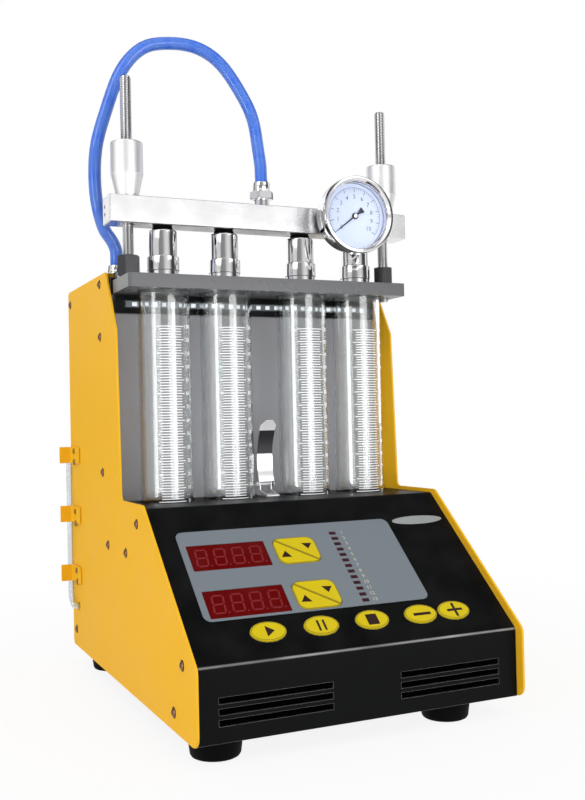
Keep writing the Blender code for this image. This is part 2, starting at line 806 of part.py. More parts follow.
def build_feet(shop):
    """Four tapered rubber feet."""
    top = FOOT_HEIGHT - FIT
    tread = FOOT_TREAD_DIAMETER / 2
    profile = [
        (0.0, top),
        (FOOT_DIAMETER / 2, top),
        (FOOT_DIAMETER / 2, top - FOOT_EDGE),
        (tread, FOOT_EDGE),
        (tread - FOOT_EDGE, 0.0),
        (0.0, 0.0),
    ]
    places = {
        "foot_front_left": (FOOT_LEFT_X, FOOT_FRONT_Y),
        "foot_front_right": (FOOT_RIGHT_X, FOOT_FRONT_Y),
        "foot_back_left": (FOOT_LEFT_X, FOOT_BACK_Y),
        "foot_back_right": (FOOT_RIGHT_X, FOOT_BACK_Y),
    }
    for name, (x, y) in places.items():
        turned(shop, name, profile, "rubber", location=(x, y, 0))


def arrow_key_centres():
    """Middle of each arrow key pair on the slope, lower pair first."""
    lower = LABEL_RISE + DISPLAY_RISE
    return [(ARROW_KEY_CENTRE_X, lower), (ARROW_KEY_CENTRE_X, lower + DISPLAY_PITCH)]


def oval_key_centres():
    """Middle of each oval key on the slope, by name."""
    pitch = OVAL_KEY_WIDTH + OVAL_KEY_GAP
    start, pause, stop, minus = [OVAL_KEY_FIRST_X + pitch * index for index in range(4)]
    plus = minus + OVAL_KEY_WIDTH + PLUS_KEY_GAP
    places = {"start": start, "pause": pause, "stop": stop, "minus": minus, "plus": plus}
    return {name: (x, OVAL_KEY_RISE) for name, x in places.items()}


def display_centres():
    """Middle of each display on the slope, lower one first."""
    lower = LABEL_RISE + DISPLAY_RISE
    return [(DISPLAY_CENTRE_X, lower), (DISPLAY_CENTRE_X, lower + DISPLAY_PITCH)]


def slope_openings(clearance):
    """Outlines of the two display windows and the two arrow key openings."""
    loops = []
    for centre in display_centres():
        width = DISPLAY_WIDTH + 2 * clearance
        height = DISPLAY_HEIGHT + 2 * clearance
        loops.append(rectangle(width, height, DISPLAY_RADIUS, centre))
    for centre in arrow_key_centres():
        width = ARROW_KEY_WIDTH + 2 * clearance
        height = ARROW_KEY_HEIGHT + 2 * clearance
        loops.append(rectangle(width, height, ARROW_KEY_RADIUS, centre))
    return loops


def vent_cutters(shop, y, lowest):
    """Two groups of slots through an upright sheet, from the lowest slot up."""
    cutters = []
    depth = 2 * (SHEET + CUT_OVERRUN)
    for side in (-1, 1):
        for row in range(VENT_ROWS):
            slot = box(shop, "vent", (VENT_WIDTH, depth, VENT_HEIGHT), None)
            x = side * (VENT_GAP + VENT_WIDTH) / 2
            slot.location = (x, y, lowest + VENT_PITCH * row)
            cutters.append(slot)
    return cutters


def build_control_cover(shop, slope):
    """One bent sheet: the vented front, the slope with its openings, and the shelf."""
    path = [
        (COVER_Y, BOTTOM_Z),
        (COVER_Y, LOW_BEND_Z),
        (HIGH_BEND_Y, SHELF_Z),
        (BLOCK_FRONT_Y - FIT, SHELF_Z),
    ]
    outline = bent_strip(path, SHEET, -1)
    cover = prism(shop, "control_cover", [outline], 2 * FITTED_X, "black", rotation=ACROSS)
    cutters = vent_cutters(shop, COVER_Y, BOTTOM_Z + VENT_LOWEST)
    depth = 2 * (SHEET + CUT_OVERRUN)
    for loop in slope_openings(FIT):
        cutters.append(prism(shop, "opening", [loop], depth, None, parent=slope))
    for centre in oval_key_centres().values():
        loop = ellipse(OVAL_KEY_WIDTH + 2 * FIT, OVAL_KEY_HEIGHT + 2 * FIT, centre)
        cutters.append(prism(shop, "opening", [loop], depth, None, parent=slope))
    combined(shop, cover, cutters, "DIFFERENCE")


def build_label(shop, slope):
    """Thin rounded label with windows for the displays and the arrow keys."""
    middle = (LABEL_CENTRE_X, LABEL_RISE + LABEL_HEIGHT / 2)
    outline = rectangle(LABEL_WIDTH, LABEL_HEIGHT, LABEL_RADIUS, middle)
    loops = [outline] + slope_openings(FIT)
    location = (0, 0, FIT + LABEL_THICKNESS / 2)
    flat_piece(
        shop, "control_label", loops, LABEL_THICKNESS, "label", location=location, parent=slope
    )


def crowned_key(shop, name, outline, centre, slope):
    """Key that stands out of its opening, with its top edge rounded."""
    local = [point - Vector(centre) for point in outline]
    height = KEY_SINK + LABEL_TOP + KEY_STAND
    location = (*centre, height / 2 - KEY_SINK)
    key = prism(shop, name, [local], height, "key", location=location, parent=slope)
    return rounded(key, KEY_CROWN, 1)


def build_arrow_keys(shop, slope):
    """Two rounded squares, each split from its upper left to its lower right corner."""
    across = Vector((ARROW_KEY_HEIGHT, ARROW_KEY_WIDTH)).normalized()
    for level, centre in zip(("lower", "upper"), arrow_key_centres()):
        square = rectangle(ARROW_KEY_WIDTH, ARROW_KEY_HEIGHT, ARROW_KEY_RADIUS, centre)
        for way, normal in (("up", -across), ("down", across)):
            half = clipped(square, Vector(centre) + normal * KEY_GAP / 2, normal)
            crowned_key(shop, f"arrow_key_{level}_{way}", half, centre, slope)


def build_oval_keys(shop, slope):
    """Five oval keys in a row below the label."""
    for name, centre in oval_key_centres().items():
        outline = ellipse(OVAL_KEY_WIDTH, OVAL_KEY_HEIGHT, centre)
        crowned_key(shop, f"key_{name}", outline, centre, slope)


def build_control_board(shop, slope):
    """Board under the slope, with its pillars, the displays and a switch below each key."""
    board_top = -SHEET - BOARD_DROP
    first = LABEL_CENTRE_X - LABEL_WIDTH / 2
    last = oval_key_centres()["plus"][0] + OVAL_KEY_WIDTH / 2
    low = OVAL_KEY_RISE - OVAL_KEY_HEIGHT / 2
    high = LABEL_RISE + LABEL_HEIGHT
    width = last - first
    height = high - low
    middle = ((first + last) / 2, (low + high) / 2)
    board = box(shop, "control_board", (width, height, BOARD_THICKNESS), "display", parent=slope)
    board.location = (*middle, board_top - BOARD_THICKNESS / 2)
    blocks = []
    for x, y in display_centres():
        top = LABEL_TOP - DISPLAY_INSET
        length = top - board_top + BOARD_THICKNESS / 2
        size = (DISPLAY_WIDTH, DISPLAY_HEIGHT, length)
        display = box(shop, "display", size, None, parent=slope)
        display.location = (x, y, top - length / 2)
        blocks.append(display)
    key_centres = list(oval_key_centres().values())
    for x, y in arrow_key_centres():
        reach_x = ARROW_KEY_WIDTH / 4
        reach_y = ARROW_KEY_HEIGHT / 4
        key_centres += [(x - reach_x, y - reach_y), (x + reach_x, y + reach_y)]
    for x, y in key_centres:
        top = -KEY_SINK - KEY_TRAVEL - FIT
        length = top - board_top + BOARD_THICKNESS / 2
        size = (SWITCH_WIDTH, SWITCH_WIDTH, length)
        switch = box(shop, "switch", size, None, parent=slope)
        switch.location = (x, y, top - length / 2)
        blocks.append(switch)
    for x in (first + BOARD_MARGIN, last - BOARD_MARGIN):
        for y in (high - BOARD_MARGIN, (low + high) / 2):
            top = -SHEET - FIT
            length = top - board_top + BOARD_THICKNESS / 2
            pillar = cylinder(
                shop, "pillar", PILLAR_DIAMETER, length, None, SMALL_STEPS, parent=slope
            )
            pillar.location = (x, y, top - length / 2)
            blocks.append(pillar)
    combined(shop, board, blocks, "UNION")


def build_tube_base(shop):
    """Block that the four tubes stand in, each over its own drain."""
    size = (2 * FITTED_X, BLOCK_BACK_Y - BLOCK_FRONT_Y, BLOCK_HEIGHT)
    block = box(shop, "tube_base", size, "black")
    block.location = (0, (BLOCK_BACK_Y + BLOCK_FRONT_Y) / 2, SHELF_Z - BLOCK_HEIGHT / 2)
    rounded(block, BLOCK_EDGE, 1)
    cutters = []
    for x in TUBE_XS:
        seat = TUBE_SEAT + CUT_OVERRUN
        recess = cylinder(shop, "seat", TUBE_SEAT_DIAMETER, seat, None, SEAT_STEPS)
        recess.location = (x, BAY_AXIS_Y, SHELF_Z - TUBE_SEAT + seat / 2)
        height = BLOCK_HEIGHT + CUT_OVERRUN
        drain = cylinder(shop, "drain", DRAIN_DIAMETER, height, None, SMALL_STEPS)
        drain.location = (x, BAY_AXIS_Y, SHELF_Z - BLOCK_HEIGHT / 2)
        cutters += [recess, drain]
    combined(shop, block, cutters, "DIFFERENCE")


def build_bay_back_panel(shop):
    """Sheet behind the tubes, with a flange back along each side."""
    flange_y = BACK_PANEL_Y + BACK_FLANGE
    path = [
        (-FITTED_X, flange_y),
        (-FITTED_X, BACK_PANEL_Y),
        (FITTED_X, BACK_PANEL_Y),
        (FITTED_X, flange_y),
    ]
    top = PLATE_Z - FIT
    height = top - BLOCK_BOTTOM_Z
    location = (0, 0, top - height / 2)
    outline = bent_strip(path, SHEET, 1)
    flat_piece(shop, "bay_back_panel", [outline], height, "grey", location=location)


def build_rear_cover(shop):
    """One bent sheet over the back: lip behind the top plate, top, and vented rear wall."""
    path = [
        (BACK_PANEL_Y + FIT, PLATE_Z),
        (BACK_PANEL_Y + FIT, REAR_TOP_Z),
        (REAR_PANEL_Y, REAR_TOP_Z),
        (REAR_PANEL_Y, BOTTOM_Z),
    ]
    outline = bent_strip(path, SHEET, -1)
    cover = prism(shop, "rear_cover", [outline], 2 * FITTED_X, "black", rotation=ACROSS)
    depth = 2 * (SHEET + CUT_OVERRUN)
    port = cylinder(shop, "port", FITTING_SPIGOT + 2 * FIT, depth, None)
    port.location = (HOUSING_PORT_X, HOUSING_PORT_Y, REAR_TOP_Z)
    inset = 2 * (INLET_BODY_MARGIN - FIT)
    window = rectangle(INLET_WIDTH - inset, INLET_HEIGHT - inset, INLET_RADIUS)
    cut = prism(shop, "inlet_opening", [window], depth, None, rotation=REARWARD)
    cut.location = (INLET_X, REAR_PANEL_Y, BOTTOM_Z + INLET_RISE)
    vents = vent_cutters(shop, REAR_PANEL_Y, REAR_TOP_Z - REAR_VENT_DROP)
    combined(shop, cover, [port, cut] + vents, "DIFFERENCE")


def build_light_bar(shop):
    """Narrow bar across the back of the bay, with a groove for its light strip."""
    width = 2 * (INNER_X - LIGHT_BAR_SIDE_GAP)
    bar = box(shop, "light_bar", (width, LIGHT_BAR_DEPTH, LIGHT_BAR_HEIGHT), "black")
    front = BACK_PANEL_Y - FIT - LIGHT_BAR_DEPTH
    middle = PLATE_Z - FIT - LIGHT_BAR_HEIGHT / 2
    bar.location = (0, front + LIGHT_BAR_DEPTH / 2, middle)
    size = (width - LIGHT_BAR_HEIGHT, 2 * LIGHT_STRIP_DEPTH, LIGHT_STRIP_HEIGHT)
    groove = box(shop, "groove", size, None)
    groove.location = (0, front, middle)
    combined(shop, bar, [groove], "DIFFERENCE")


def build_top_plate(shop):
    """Plate over the tubes, with a port over each tube, a recess for its end, and rod holes."""
    half_x = INNER_X - PLATE_SIDE_GAP
    back = BACK_PANEL_Y - FIT
    middle = (0.0, (PLATE_FRONT_Y + back) / 2)
    loops = [rectangle(2 * half_x, back - PLATE_FRONT_Y, PLATE_RADIUS, middle)]
    for x in TUBE_XS:
        loops.append(ellipse(PLATE_PORT, PLATE_PORT, (x, BAY_AXIS_Y), PORT_STEPS))
    for x in (-ROD_X, ROD_X):
        loops.append(ellipse(ROD_HOLE, ROD_HOLE, (x, BAY_AXIS_Y), PORT_STEPS))
    location = (0, 0, PLATE_Z + PLATE_THICKNESS / 2)
    plate = prism(shop, "top_plate", loops, PLATE_THICKNESS, "plate", location=location)
    cutters = []
    for x in TUBE_XS:
        depth = PLATE_SEAT + CUT_OVERRUN
        seat = cylinder(shop, "seat", TUBE_SEAT_DIAMETER, depth, None, SEAT_STEPS)
        seat.location = (x, BAY_AXIS_Y, PLATE_Z + PLATE_SEAT - depth / 2)
        cutters.append(seat)
    combined(shop, plate, cutters, "DIFFERENCE")


def build_tubes(shop):
    """Four open glass tubes."""
    outer = TUBE_DIAMETER / 2
    inner = outer - TUBE_WALL
    height = TUBE_TOP_Z - TUBE_BOTTOM_Z
    profile = [(inner, height), (outer, height), (outer, 0.0), (inner, 0.0)]
    for number, x in enumerate(TUBE_XS, start=1):
        location = (x, BAY_AXIS_Y, TUBE_BOTTOM_Z)
        name = f"measuring_tube_{number}"
        turned(shop, name, profile, "glass", TUBE_STEPS, True, location=location)


def build_rods(shop):
    """Two rods through the top plate, with a tall hex nut at each foot."""
    radius = ROD_DIAMETER / 2
    profile = [
        (0.0, ROD_LENGTH),
        (radius - ROD_CHAMFER, ROD_LENGTH),
        (radius, ROD_LENGTH - ROD_CHAMFER),
        (radius, ROD_CHAMFER),
        (radius - ROD_CHAMFER, 0.0),
        (0.0, 0.0),
    ]
    seats = {"left": (-ROD_X, ROD_SEAT), "right": (ROD_X, ROD_SEAT + ROD_STEP)}
    for side, (x, seat) in seats.items():
        location = (x, BAY_AXIS_Y, PLATE_TOP_Z - seat)
        turned(shop, f"clamp_rod_{side}", profile, "zinc", location=location)
        corner = ROD_NUT_FLATS / math.cos(math.pi / 6)
        nut = cylinder(shop, f"rod_nut_{side}", corner, ROD_NUT_HEIGHT, "black_steel", HEX_SIDES)
        nut.location = (x, BAY_AXIS_Y, ADAPTER_Z + ROD_NUT_HEIGHT / 2)
        rounded(nut, NUT_CHAMFER, 1)
        hole = cylinder(shop, "hole", ROD_HOLE, ROD_NUT_HEIGHT + CUT_OVERRUN, None)
        hole.location = nut.location
        combined(shop, nut, [hole], "DIFFERENCE")


def build_clamp_nuts(shop):
    """Round nuts with a conical foot, which press the rail down."""
    bore = ROD_HOLE / 2
    radius = CLAMP_NUT_DIAMETER / 2
    foot = CLAMP_NUT_FOOT / 2
    profile = [
        (bore, CLAMP_NUT_HEIGHT),
        (radius - CLAMP_CHAMFER, CLAMP_NUT_HEIGHT),
        (radius, CLAMP_NUT_HEIGHT - CLAMP_CHAMFER),
        (radius, CLAMP_CONE_HEIGHT),
        (foot, CLAMP_CHAMFER),
        (foot, 0.0),
        (bore, 0.0),
    ]
    for side, x in (("left", -ROD_X), ("right", ROD_X)):
        location = (x, BAY_AXIS_Y, CLAMP_NUT_Z)
        name = f"clamp_nut_{side}"
        turned(shop, name, profile, "aluminium", TURNED_STEPS, True, location=location)


def build_adapters(shop):
    """Hollow adapters between the top plate and the rail, each with a seal on top."""
    bore = ADAPTER_BORE / 2
    body = ADAPTER_DIAMETER / 2
    collar = COLLAR_DIAMETER / 2
    spigot = PLATE_PORT / 2 - FIT
    profile = [
        (bore, ADAPTER_HEIGHT),
        (body - ADAPTER_ROUND, ADAPTER_HEIGHT),
        (body, ADAPTER_HEIGHT - ADAPTER_ROUND),
        (body, COLLAR_HEIGHT),
        (collar - COLLAR_CHAMFER, COLLAR_HEIGHT),
        (collar, COLLAR_HEIGHT - COLLAR_CHAMFER),
        (collar, 0.0),
        (spigot, 0.0),
        (spigot, -SPIGOT_LENGTH),
        (bore, -SPIGOT_LENGTH),
    ]
    outer = SEAL_DIAMETER / 2
    seal = [
        (bore, SEAL_HEIGHT),
        (outer - SEAL_ROUND, SEAL_HEIGHT),
        (outer, SEAL_HEIGHT / 2),
        (outer - SEAL_ROUND, 0.0),
        (bore, 0.0),
    ]
    for number, x in enumerate(TUBE_XS, start=1):
        location = (x, BAY_AXIS_Y, ADAPTER_Z)
        name = f"injector_adapter_{number}"
        turned(shop, name, profile, "polished", TURNED_STEPS, True, location=location)
        location = (x, BAY_AXIS_Y, SEAL_Z)
        name = f"adapter_seal_{number}"
        turned(shop, name, seal, "rubber", PORT_STEPS, True, location=location)


def rail_cutters(shop):
    """What is drilled in the rail: rod holes, outlets, the hose and gauge ports, end holes."""
    cutters = []
    for x in (-ROD_X, ROD_X):
        hole = cylinder(shop, "rod_hole", ROD_HOLE, RAIL_HEIGHT + CUT_OVERRUN, None)
        hole.location = (x, BAY_AXIS_Y, RAIL_Z + RAIL_HEIGHT / 2)
        cutters.append(hole)
    for x in TUBE_XS:
        depth = RAIL_OUTLET_DEPTH + CUT_OVERRUN
        outlet = cylinder(shop, "outlet", RAIL_OUTLET, depth, None)
        outlet.location = (x, BAY_AXIS_Y, RAIL_Z + RAIL_OUTLET_DEPTH - depth / 2)
        cutters.append(outlet)
    depth = RAIL_PORT_DEPTH + CUT_OVERRUN
    port = cylinder(shop, "hose_port", FITTING_SPIGOT + 2 * FIT, depth, None)
    port.location = (0, BAY_AXIS_Y, RAIL_TOP_Z - RAIL_PORT_DEPTH + depth / 2)
    gauge_port = cylinder(shop, "gauge_port", GAUGE_STEM + 2 * FIT, depth, None)
    gauge_port.rotation_euler = FORWARD
    gauge_port.location = (GAUGE_X, RAIL_FRONT_Y + RAIL_PORT_DEPTH - depth / 2, GAUGE_Z)
    cutters += [port, gauge_port]
    depth = RAIL_END_HOLE_DEPTH + CUT_OVERRUN
    for step in (-1, 1):
        hole = cylinder(shop, "end_hole", RAIL_END_HOLE, depth, None, SMALL_STEPS)
        hole.rotation_euler = ACROSS
        z = RAIL_Z + RAIL_HEIGHT / 2 + step * RAIL_END_HOLE_PITCH / 2
        x = RAIL_END_HOLE_DEPTH - RAIL_LENGTH / 2 - depth / 2
        hole.location = (x, BAY_AXIS_Y + RAIL_END_HOLE_OFFSET, z)
        cutters.append(hole)
    return cutters


def build_rail(shop):
    """Square bar that feeds the injectors, drilled for the rods, the hose and the gauge."""
    rail = box(shop, "fuel_rail", (RAIL_LENGTH, RAIL_DEPTH, RAIL_HEIGHT), "aluminium")
    rail.location = (0, BAY_AXIS_Y, RAIL_Z + RAIL_HEIGHT / 2)
    rounded(rail, RAIL_EDGE, 1)
    combined(shop, rail, rail_cutters(shop), "DIFFERENCE")


def build_gauge(shop):
    """Round pressure gauge on a stem in the rail's front face."""
    gauge = shop.new_empty("gauge", (GAUGE_X, GAUGE_BACK_Y, GAUGE_Z), FORWARD, shop.machine)
    ledge = CASE_BORE - DIAL_LEDGE
    stem = GAUGE_STEM / 2
    stem_end = -GAUGE_STANDOFF - RAIL_PORT_DEPTH + FIT
    case = [
        (0.0, CASE_WALL),
        (ledge, CASE_WALL),
        (ledge, DIAL_BACK - FIT),
        (CASE_BORE, DIAL_BACK - FIT),
        (CASE_BORE, CASE_RIM),
        (CASE_RADIUS, CASE_RIM),
        (CASE_RADIUS, CASE_ROUND),
        (CASE_RADIUS - CASE_ROUND, 0.0),
        (stem, 0.0),
        (stem, stem_end),
        (0.0, stem_end),
    ]
    turned(shop, "gauge_case", case, "polished", GAUGE_STEPS, parent=gauge)
    outer = BEZEL_DIAMETER / 2
    inner = CASE_RADIUS + FIT
    lip = BEZEL_OPENING / 2
    lip_back = GAUGE_DEPTH - LIP_DEPTH
    tail = GAUGE_DEPTH - BEZEL_LENGTH
    bezel = [
        (lip + BEZEL_FLARE, GAUGE_DEPTH),
        (outer - BEZEL_ROUND, GAUGE_DEPTH),
        (outer, GAUGE_DEPTH - BEZEL_ROUND),
        (outer, tail + BEZEL_ROUND),
        (outer - BEZEL_ROUND, tail),
        (inner, tail),
        (inner, lip_back),
        (lip, lip_back),
        (lip, lip_back + LIP_EDGE),
    ]
    turned(shop, "gauge_bezel", bezel, "polished", GAUGE_STEPS, True, parent=gauge)
    lens = [
        (0.0, LENS_FRONT),
        (CASE_RADIUS, LENS_FRONT),
        (CASE_RADIUS, LENS_BACK),
        (0.0, LENS_BACK),
    ]
    turned(shop, "gauge_lens", lens, "glass", GAUGE_STEPS, parent=gauge)
    dial_radius = CASE_BORE - FIT
    hole = SPINDLE_HOLE / 2
    dial = [
        (hole, DIAL_FRONT),
        (dial_radius, DIAL_FRONT),
        (dial_radius, DIAL_BACK),
        (hole, DIAL_BACK),
    ]
    turned(shop, "gauge_dial", dial, "dial", GAUGE_STEPS, True, parent=gauge)
    build_needle(shop, gauge)


def build_needle(shop, gauge):
    """Pointer with its counterweight, hub and spindle, at rest on the first mark."""
    root = NEEDLE_ROOT / 2
    tip = NEEDLE_TIP / 2
    tail = NEEDLE_TAIL_WIDTH / 2
    outline = [
        Vector((NEEDLE_LENGTH, -tip)),
        Vector((NEEDLE_LENGTH, tip)),
        Vector((0.0, root)),
        Vector((-NEEDLE_TAIL, tail)),
        Vector((-NEEDLE_TAIL, -tail)),
        Vector((0.0, -root)),
    ]
    base = DIAL_FRONT + FIT
    middle = base + NEEDLE_HUB_HEIGHT / 2
    needle = prism(shop, "gauge_needle", [outline], NEEDLE_THICKNESS, "needle", parent=gauge)
    needle.location = (0, 0, middle)
    needle.rotation_euler = (0, 0, NEEDLE_REST)
    hub = cylinder(shop, "hub", NEEDLE_HUB, NEEDLE_HUB_HEIGHT, None, parent=gauge)
    hub.location = (0, 0, middle)
    length = middle - DIAL_BACK + DIAL_THICKNESS
    spindle = cylinder(
        shop, "spindle", SPINDLE_DIAMETER, length, None, SMALL_STEPS, parent=gauge
    )
    spindle.location = (0, 0, middle - length / 2)
    combined(shop, needle, [hub, spindle], "UNION")


def build_hose_fitting(shop, name, place, boss_height, hex_height, sleeve_height):
    """Fitting with a spigot in its port, a hexagon, and the sleeve that grips the hose."""
    sleeve = FITTING_SLEEVE / 2
    boss = FITTING_BOSS / 2
    spigot = FITTING_SPIGOT / 2
    sleeve_z = boss_height + hex_height
    top = sleeve_z + sleeve_height
    depth = FIT - RAIL_PORT_DEPTH
    profile = [
        (0.0, top),
        (sleeve - FITTING_CHAMFER, top),
        (sleeve, top - FITTING_CHAMFER),
        (sleeve, sleeve_z),
        (boss, sleeve_z),
        (boss, 0.0),
        (spigot, 0.0),
        (spigot, depth),
        (0.0, depth),
    ]
    fitting = turned(shop, name, profile, "polished", location=place)
    corner = FITTING_FLATS / math.cos(math.pi / 6)
    hexagon = cylinder(shop, "hexagon", corner, hex_height, None, HEX_SIDES)
    hexagon.location = (place[0], place[1], place[2] + boss_height + hex_height / 2)
    rounded(hexagon, NUT_CHAMFER, 1)
    combined(shop, fitting, [hexagon], "UNION")


def build_hose_fittings(shop):
    """The fitting on the rail's top face and the one on the rear cover."""
    rail_place = (0, BAY_AXIS_Y, CLAMP_NUT_Z)
    build_hose_fitting(
        shop,
        "hose_fitting_rail",
        rail_place,
        FITTING_BOSS_HEIGHT,
        FITTING_HEX_HEIGHT,
        FITTING_SLEEVE_HEIGHT,
    )
    cover_place = (HOUSING_PORT_X, HOUSING_PORT_Y, REAR_TOP_Z + FIT)
    build_hose_fitting(
        shop, "hose_fitting_housing", cover_place, 0.0, HOUSING_HEX_HEIGHT, HOUSING_SLEEVE_HEIGHT
    )


def smooth_route(route, spacing):
    """Points at an even spacing on the smooth curve through a route, whose two ends are straight."""
    knots = [Vector(point) for point in route]
    fine = []
    for before, start, end, after in zip(knots, knots[1:], knots[2:], knots[3:]):
        for step in range(CURVE_STEPS):
            t = step / CURVE_STEPS
            slope = end - before
            bend = 2 * before - 5 * start + 4 * end - after
            twist = 3 * start - before - 3 * end + after
            fine.append(start + (slope * t + bend * t**2 + twist * t**3) / 2)
    fine.append(knots[-2])
    length = sum((end - start).length for start, end in zip(fine, fine[1:]))
    count = round(length / spacing)
    points = [knots[0], fine[0]]
    travelled = 0.0
    for start, end in zip(fine, fine[1:]):
        run = (end - start).length
        target = length * (len(points) - 1) / count
        if len(points) <= count and travelled + run >= target:
            points.append(start.lerp(end, (target - travelled) / run))
        travelled += run
    return points + [fine[-1], knots[-1]]


def build_hose(shop):
    """Hose from the rail's fitting, up and over to the rear cover's fitting."""
    path = smooth_route(HOSE_ROUTE, HOSE_SPACING_SHARE * HOSE_DIAMETER)
    tube(shop, "fuel_hose", path, HOSE_DIAMETER, "hose", HOSE_BEVEL_STEPS)


def latch_ear():
    """Outline of one leg of the bracket, about the pin, in the (y, z) plane."""
    start = math.pi + math.acos(LATCH_NECK_WIDTH / LATCH_EAR_RADIUS)
    points = []
    for step in range(SMALL_STEPS + 1):
        angle = start - start * step / SMALL_STEPS
        points.append(
            Vector((LATCH_EAR_RADIUS * math.cos(angle), LATCH_EAR_RADIUS * math.sin(angle)))
        )
    foot_top = LATCH_FOOT_Z + LATCH_SHEET
    points += [
        Vector((LATCH_FOOT_HEEL, foot_top)),
        Vector((LATCH_FOOT_HEEL, LATCH_FOOT_Z)),
        Vector((-LATCH_FOOT_REACH, LATCH_FOOT_Z)),
        Vector((-LATCH_FOOT_REACH, foot_top)),
        Vector((-LATCH_NECK_WIDTH, -LATCH_NECK_DROP)),
    ]
    return points


def build_latch_base(shop, latch):
    """Bracket on the tube base: a foot, two slanting legs, and the pin between them."""
    foot_size = (2 * EAR_X, LATCH_FOOT_REACH + LATCH_FOOT_HEEL, LATCH_SHEET)
    base = box(shop, "latch_base", foot_size, "polished", parent=latch)
    foot_y = (LATCH_FOOT_HEEL - LATCH_FOOT_REACH) / 2
    base.location = (0, foot_y, LATCH_FOOT_Z + LATCH_SHEET / 2)
    pieces = []
    for side in (-1, 1):
        ear = prism(shop, "ear", [latch_ear()], LATCH_SHEET, None, parent=latch, rotation=ACROSS)
        ear.location = (side * EAR_X, 0, 0)
        pieces.append(ear)
        head_x = LEVER_WIDTH / 2 + FIT + LATCH_HEAD_LENGTH / 2
        head = cylinder(
            shop, "head", LATCH_HEAD_DIAMETER, LATCH_HEAD_LENGTH, None, SMALL_STEPS, parent=latch
        )
        head.rotation_euler = ACROSS
        head.location = (side * head_x, 0, 0)
        pieces.append(head)
    length = LEVER_WIDTH + 2 * FIT + LATCH_HEAD_LENGTH
    pin = cylinder(shop, "pin", LATCH_PIN_DIAMETER, length, None, SMALL_STEPS, parent=latch)
    pin.rotation_euler = ACROSS
    pieces.append(pin)
    combined(shop, base, pieces, "UNION")


def lever_arc(offset):
    """Curved line of the lever in the (y, z) plane, moved back by an offset."""
    start = Vector((-LEVER_STANDOFF, LEVER_RISE))
    end = start + Vector((-LEVER_LEAN, LEVER_LENGTH))
    chord = end - start
    radius = chord.length_squared / (8 * LEVER_SAG) + LEVER_SAG / 2
    toward = Vector((-chord.y, chord.x)).normalized()
    middle = (start + end) / 2 + toward * (radius - LEVER_SAG)
    points = []
    for step in range(LEVER_STEPS + 1):
        share = step / LEVER_STEPS
        half = math.asin(chord.length / 2 / radius)
        angle = half * (2 * share - 1)
        outward = -toward * math.cos(angle) + chord.normalized() * math.sin(angle)
        points.append(middle + outward * (radius + offset))
    return points


def build_latch_lever(shop, latch):
    """Curved lever of pressed sheet, whose two cheeks turn on the bracket's pin."""
    front = lever_arc(0.0)
    back = lever_arc(LATCH_SHEET)
    sheet = front + back[::-1]
    lever = prism(
        shop, "latch_lever", [sheet], LEVER_WIDTH, "polished", parent=latch, rotation=ACROSS
    )
    cheek_rows = max(2, round(LEVER_STEPS * LEVER_CHEEK_SHARE) + 1)
    hub = ellipse(2 * LATCH_EAR_RADIUS, 2 * LATCH_EAR_RADIUS, steps=PORT_STEPS)
    outline = convex_hull(hub + back[:cheek_rows])
    cheeks = []
    for side in (-1, 1):
        cheek = prism(shop, "cheek", [outline], LATCH_SHEET, None, parent=latch, rotation=ACROSS)
        cheek.location = (side * CHEEK_X, 0, 0)
        cheeks.append(cheek)
    combined(shop, lever, cheeks, "UNION")
    diameter = LATCH_PIN_DIAMETER + 2 * FIT
    length = LEVER_WIDTH + CUT_OVERRUN
    hole = cylinder(shop, "pin_hole", diameter, length, None, parent=latch)
    hole.rotation_euler = ACROSS
    tip = front[-1]
    size = 2 * LEVER_TIP_ROUND
    outset = LEVER_TIP_ROUND * TIP_OUTSET_SHARE
    rounders = [hole]
    for side in (-1, 1):
        square = box(shop, "tip_corner", (size, size, size), None, parent=latch)
        square.location = (side * (LEVER_WIDTH / 2 + outset), tip.x, tip.y + outset)
        square.rotation_euler = (0, side * math.pi / 4, 0)
        rounders.append(square)
    combined(shop, lever, rounders, "DIFFERENCE")


def build_latch(shop):
    """Bracket and lever between the two middle tubes."""
    place = (0, LATCH_PIN_Y, LATCH_PIN_Z)
    latch = shop.new_empty("latch", place, (0, 0, 0), shop.machine)
    build_latch_base(shop, latch)
    build_latch_lever(shop, latch)


def build_level_tube(shop):
    """Clear tube up the left panel's back edge, whose lower end turns in through a hole."""
    corners = [
        (LEVEL_TUBE_X, LEVEL_TUBE_Y, BOTTOM_Z + LEVEL_TUBE_TOP),
        (LEVEL_TUBE_X, LEVEL_TUBE_Y, LEVEL_HOLE_Z),
        (LEVEL_TUBE_X, LEVEL_HOLE_Y, LEVEL_HOLE_Z),
        (TANK_SIDE_GAP - INNER_X - FIT, LEVEL_HOLE_Y, LEVEL_HOLE_Z),
    ]
    path = rounded_path(corners, [LEVEL_TUBE_BEND, LEVEL_TUBE_ENTRY_BEND])
    tube(shop, "level_tube", path, LEVEL_TUBE_DIAMETER, "clear", 3)


def build_clips(shop):
    """Three folded clips on the left panel, in front of the level tube."""
    path = [
        (CLIP_FACE_X, CLIP_BACK_Y - CLIP_LEG),
        (CLIP_FACE_X, CLIP_BACK_Y),
        (CLIP_FACE_X - CLIP_REACH, CLIP_BACK_Y),
    ]
    outline = bent_strip(path, CLIP_SHEET, 1)
    for number in range(CLIP_COUNT):
        z = BOTTOM_Z + CLIP_LOWEST + CLIP_PITCH * number
        name = f"tube_clip_{number + 1}"
        flat_piece(shop, name, [outline], CLIP_HEIGHT, "yellow", location=(0, 0, z))


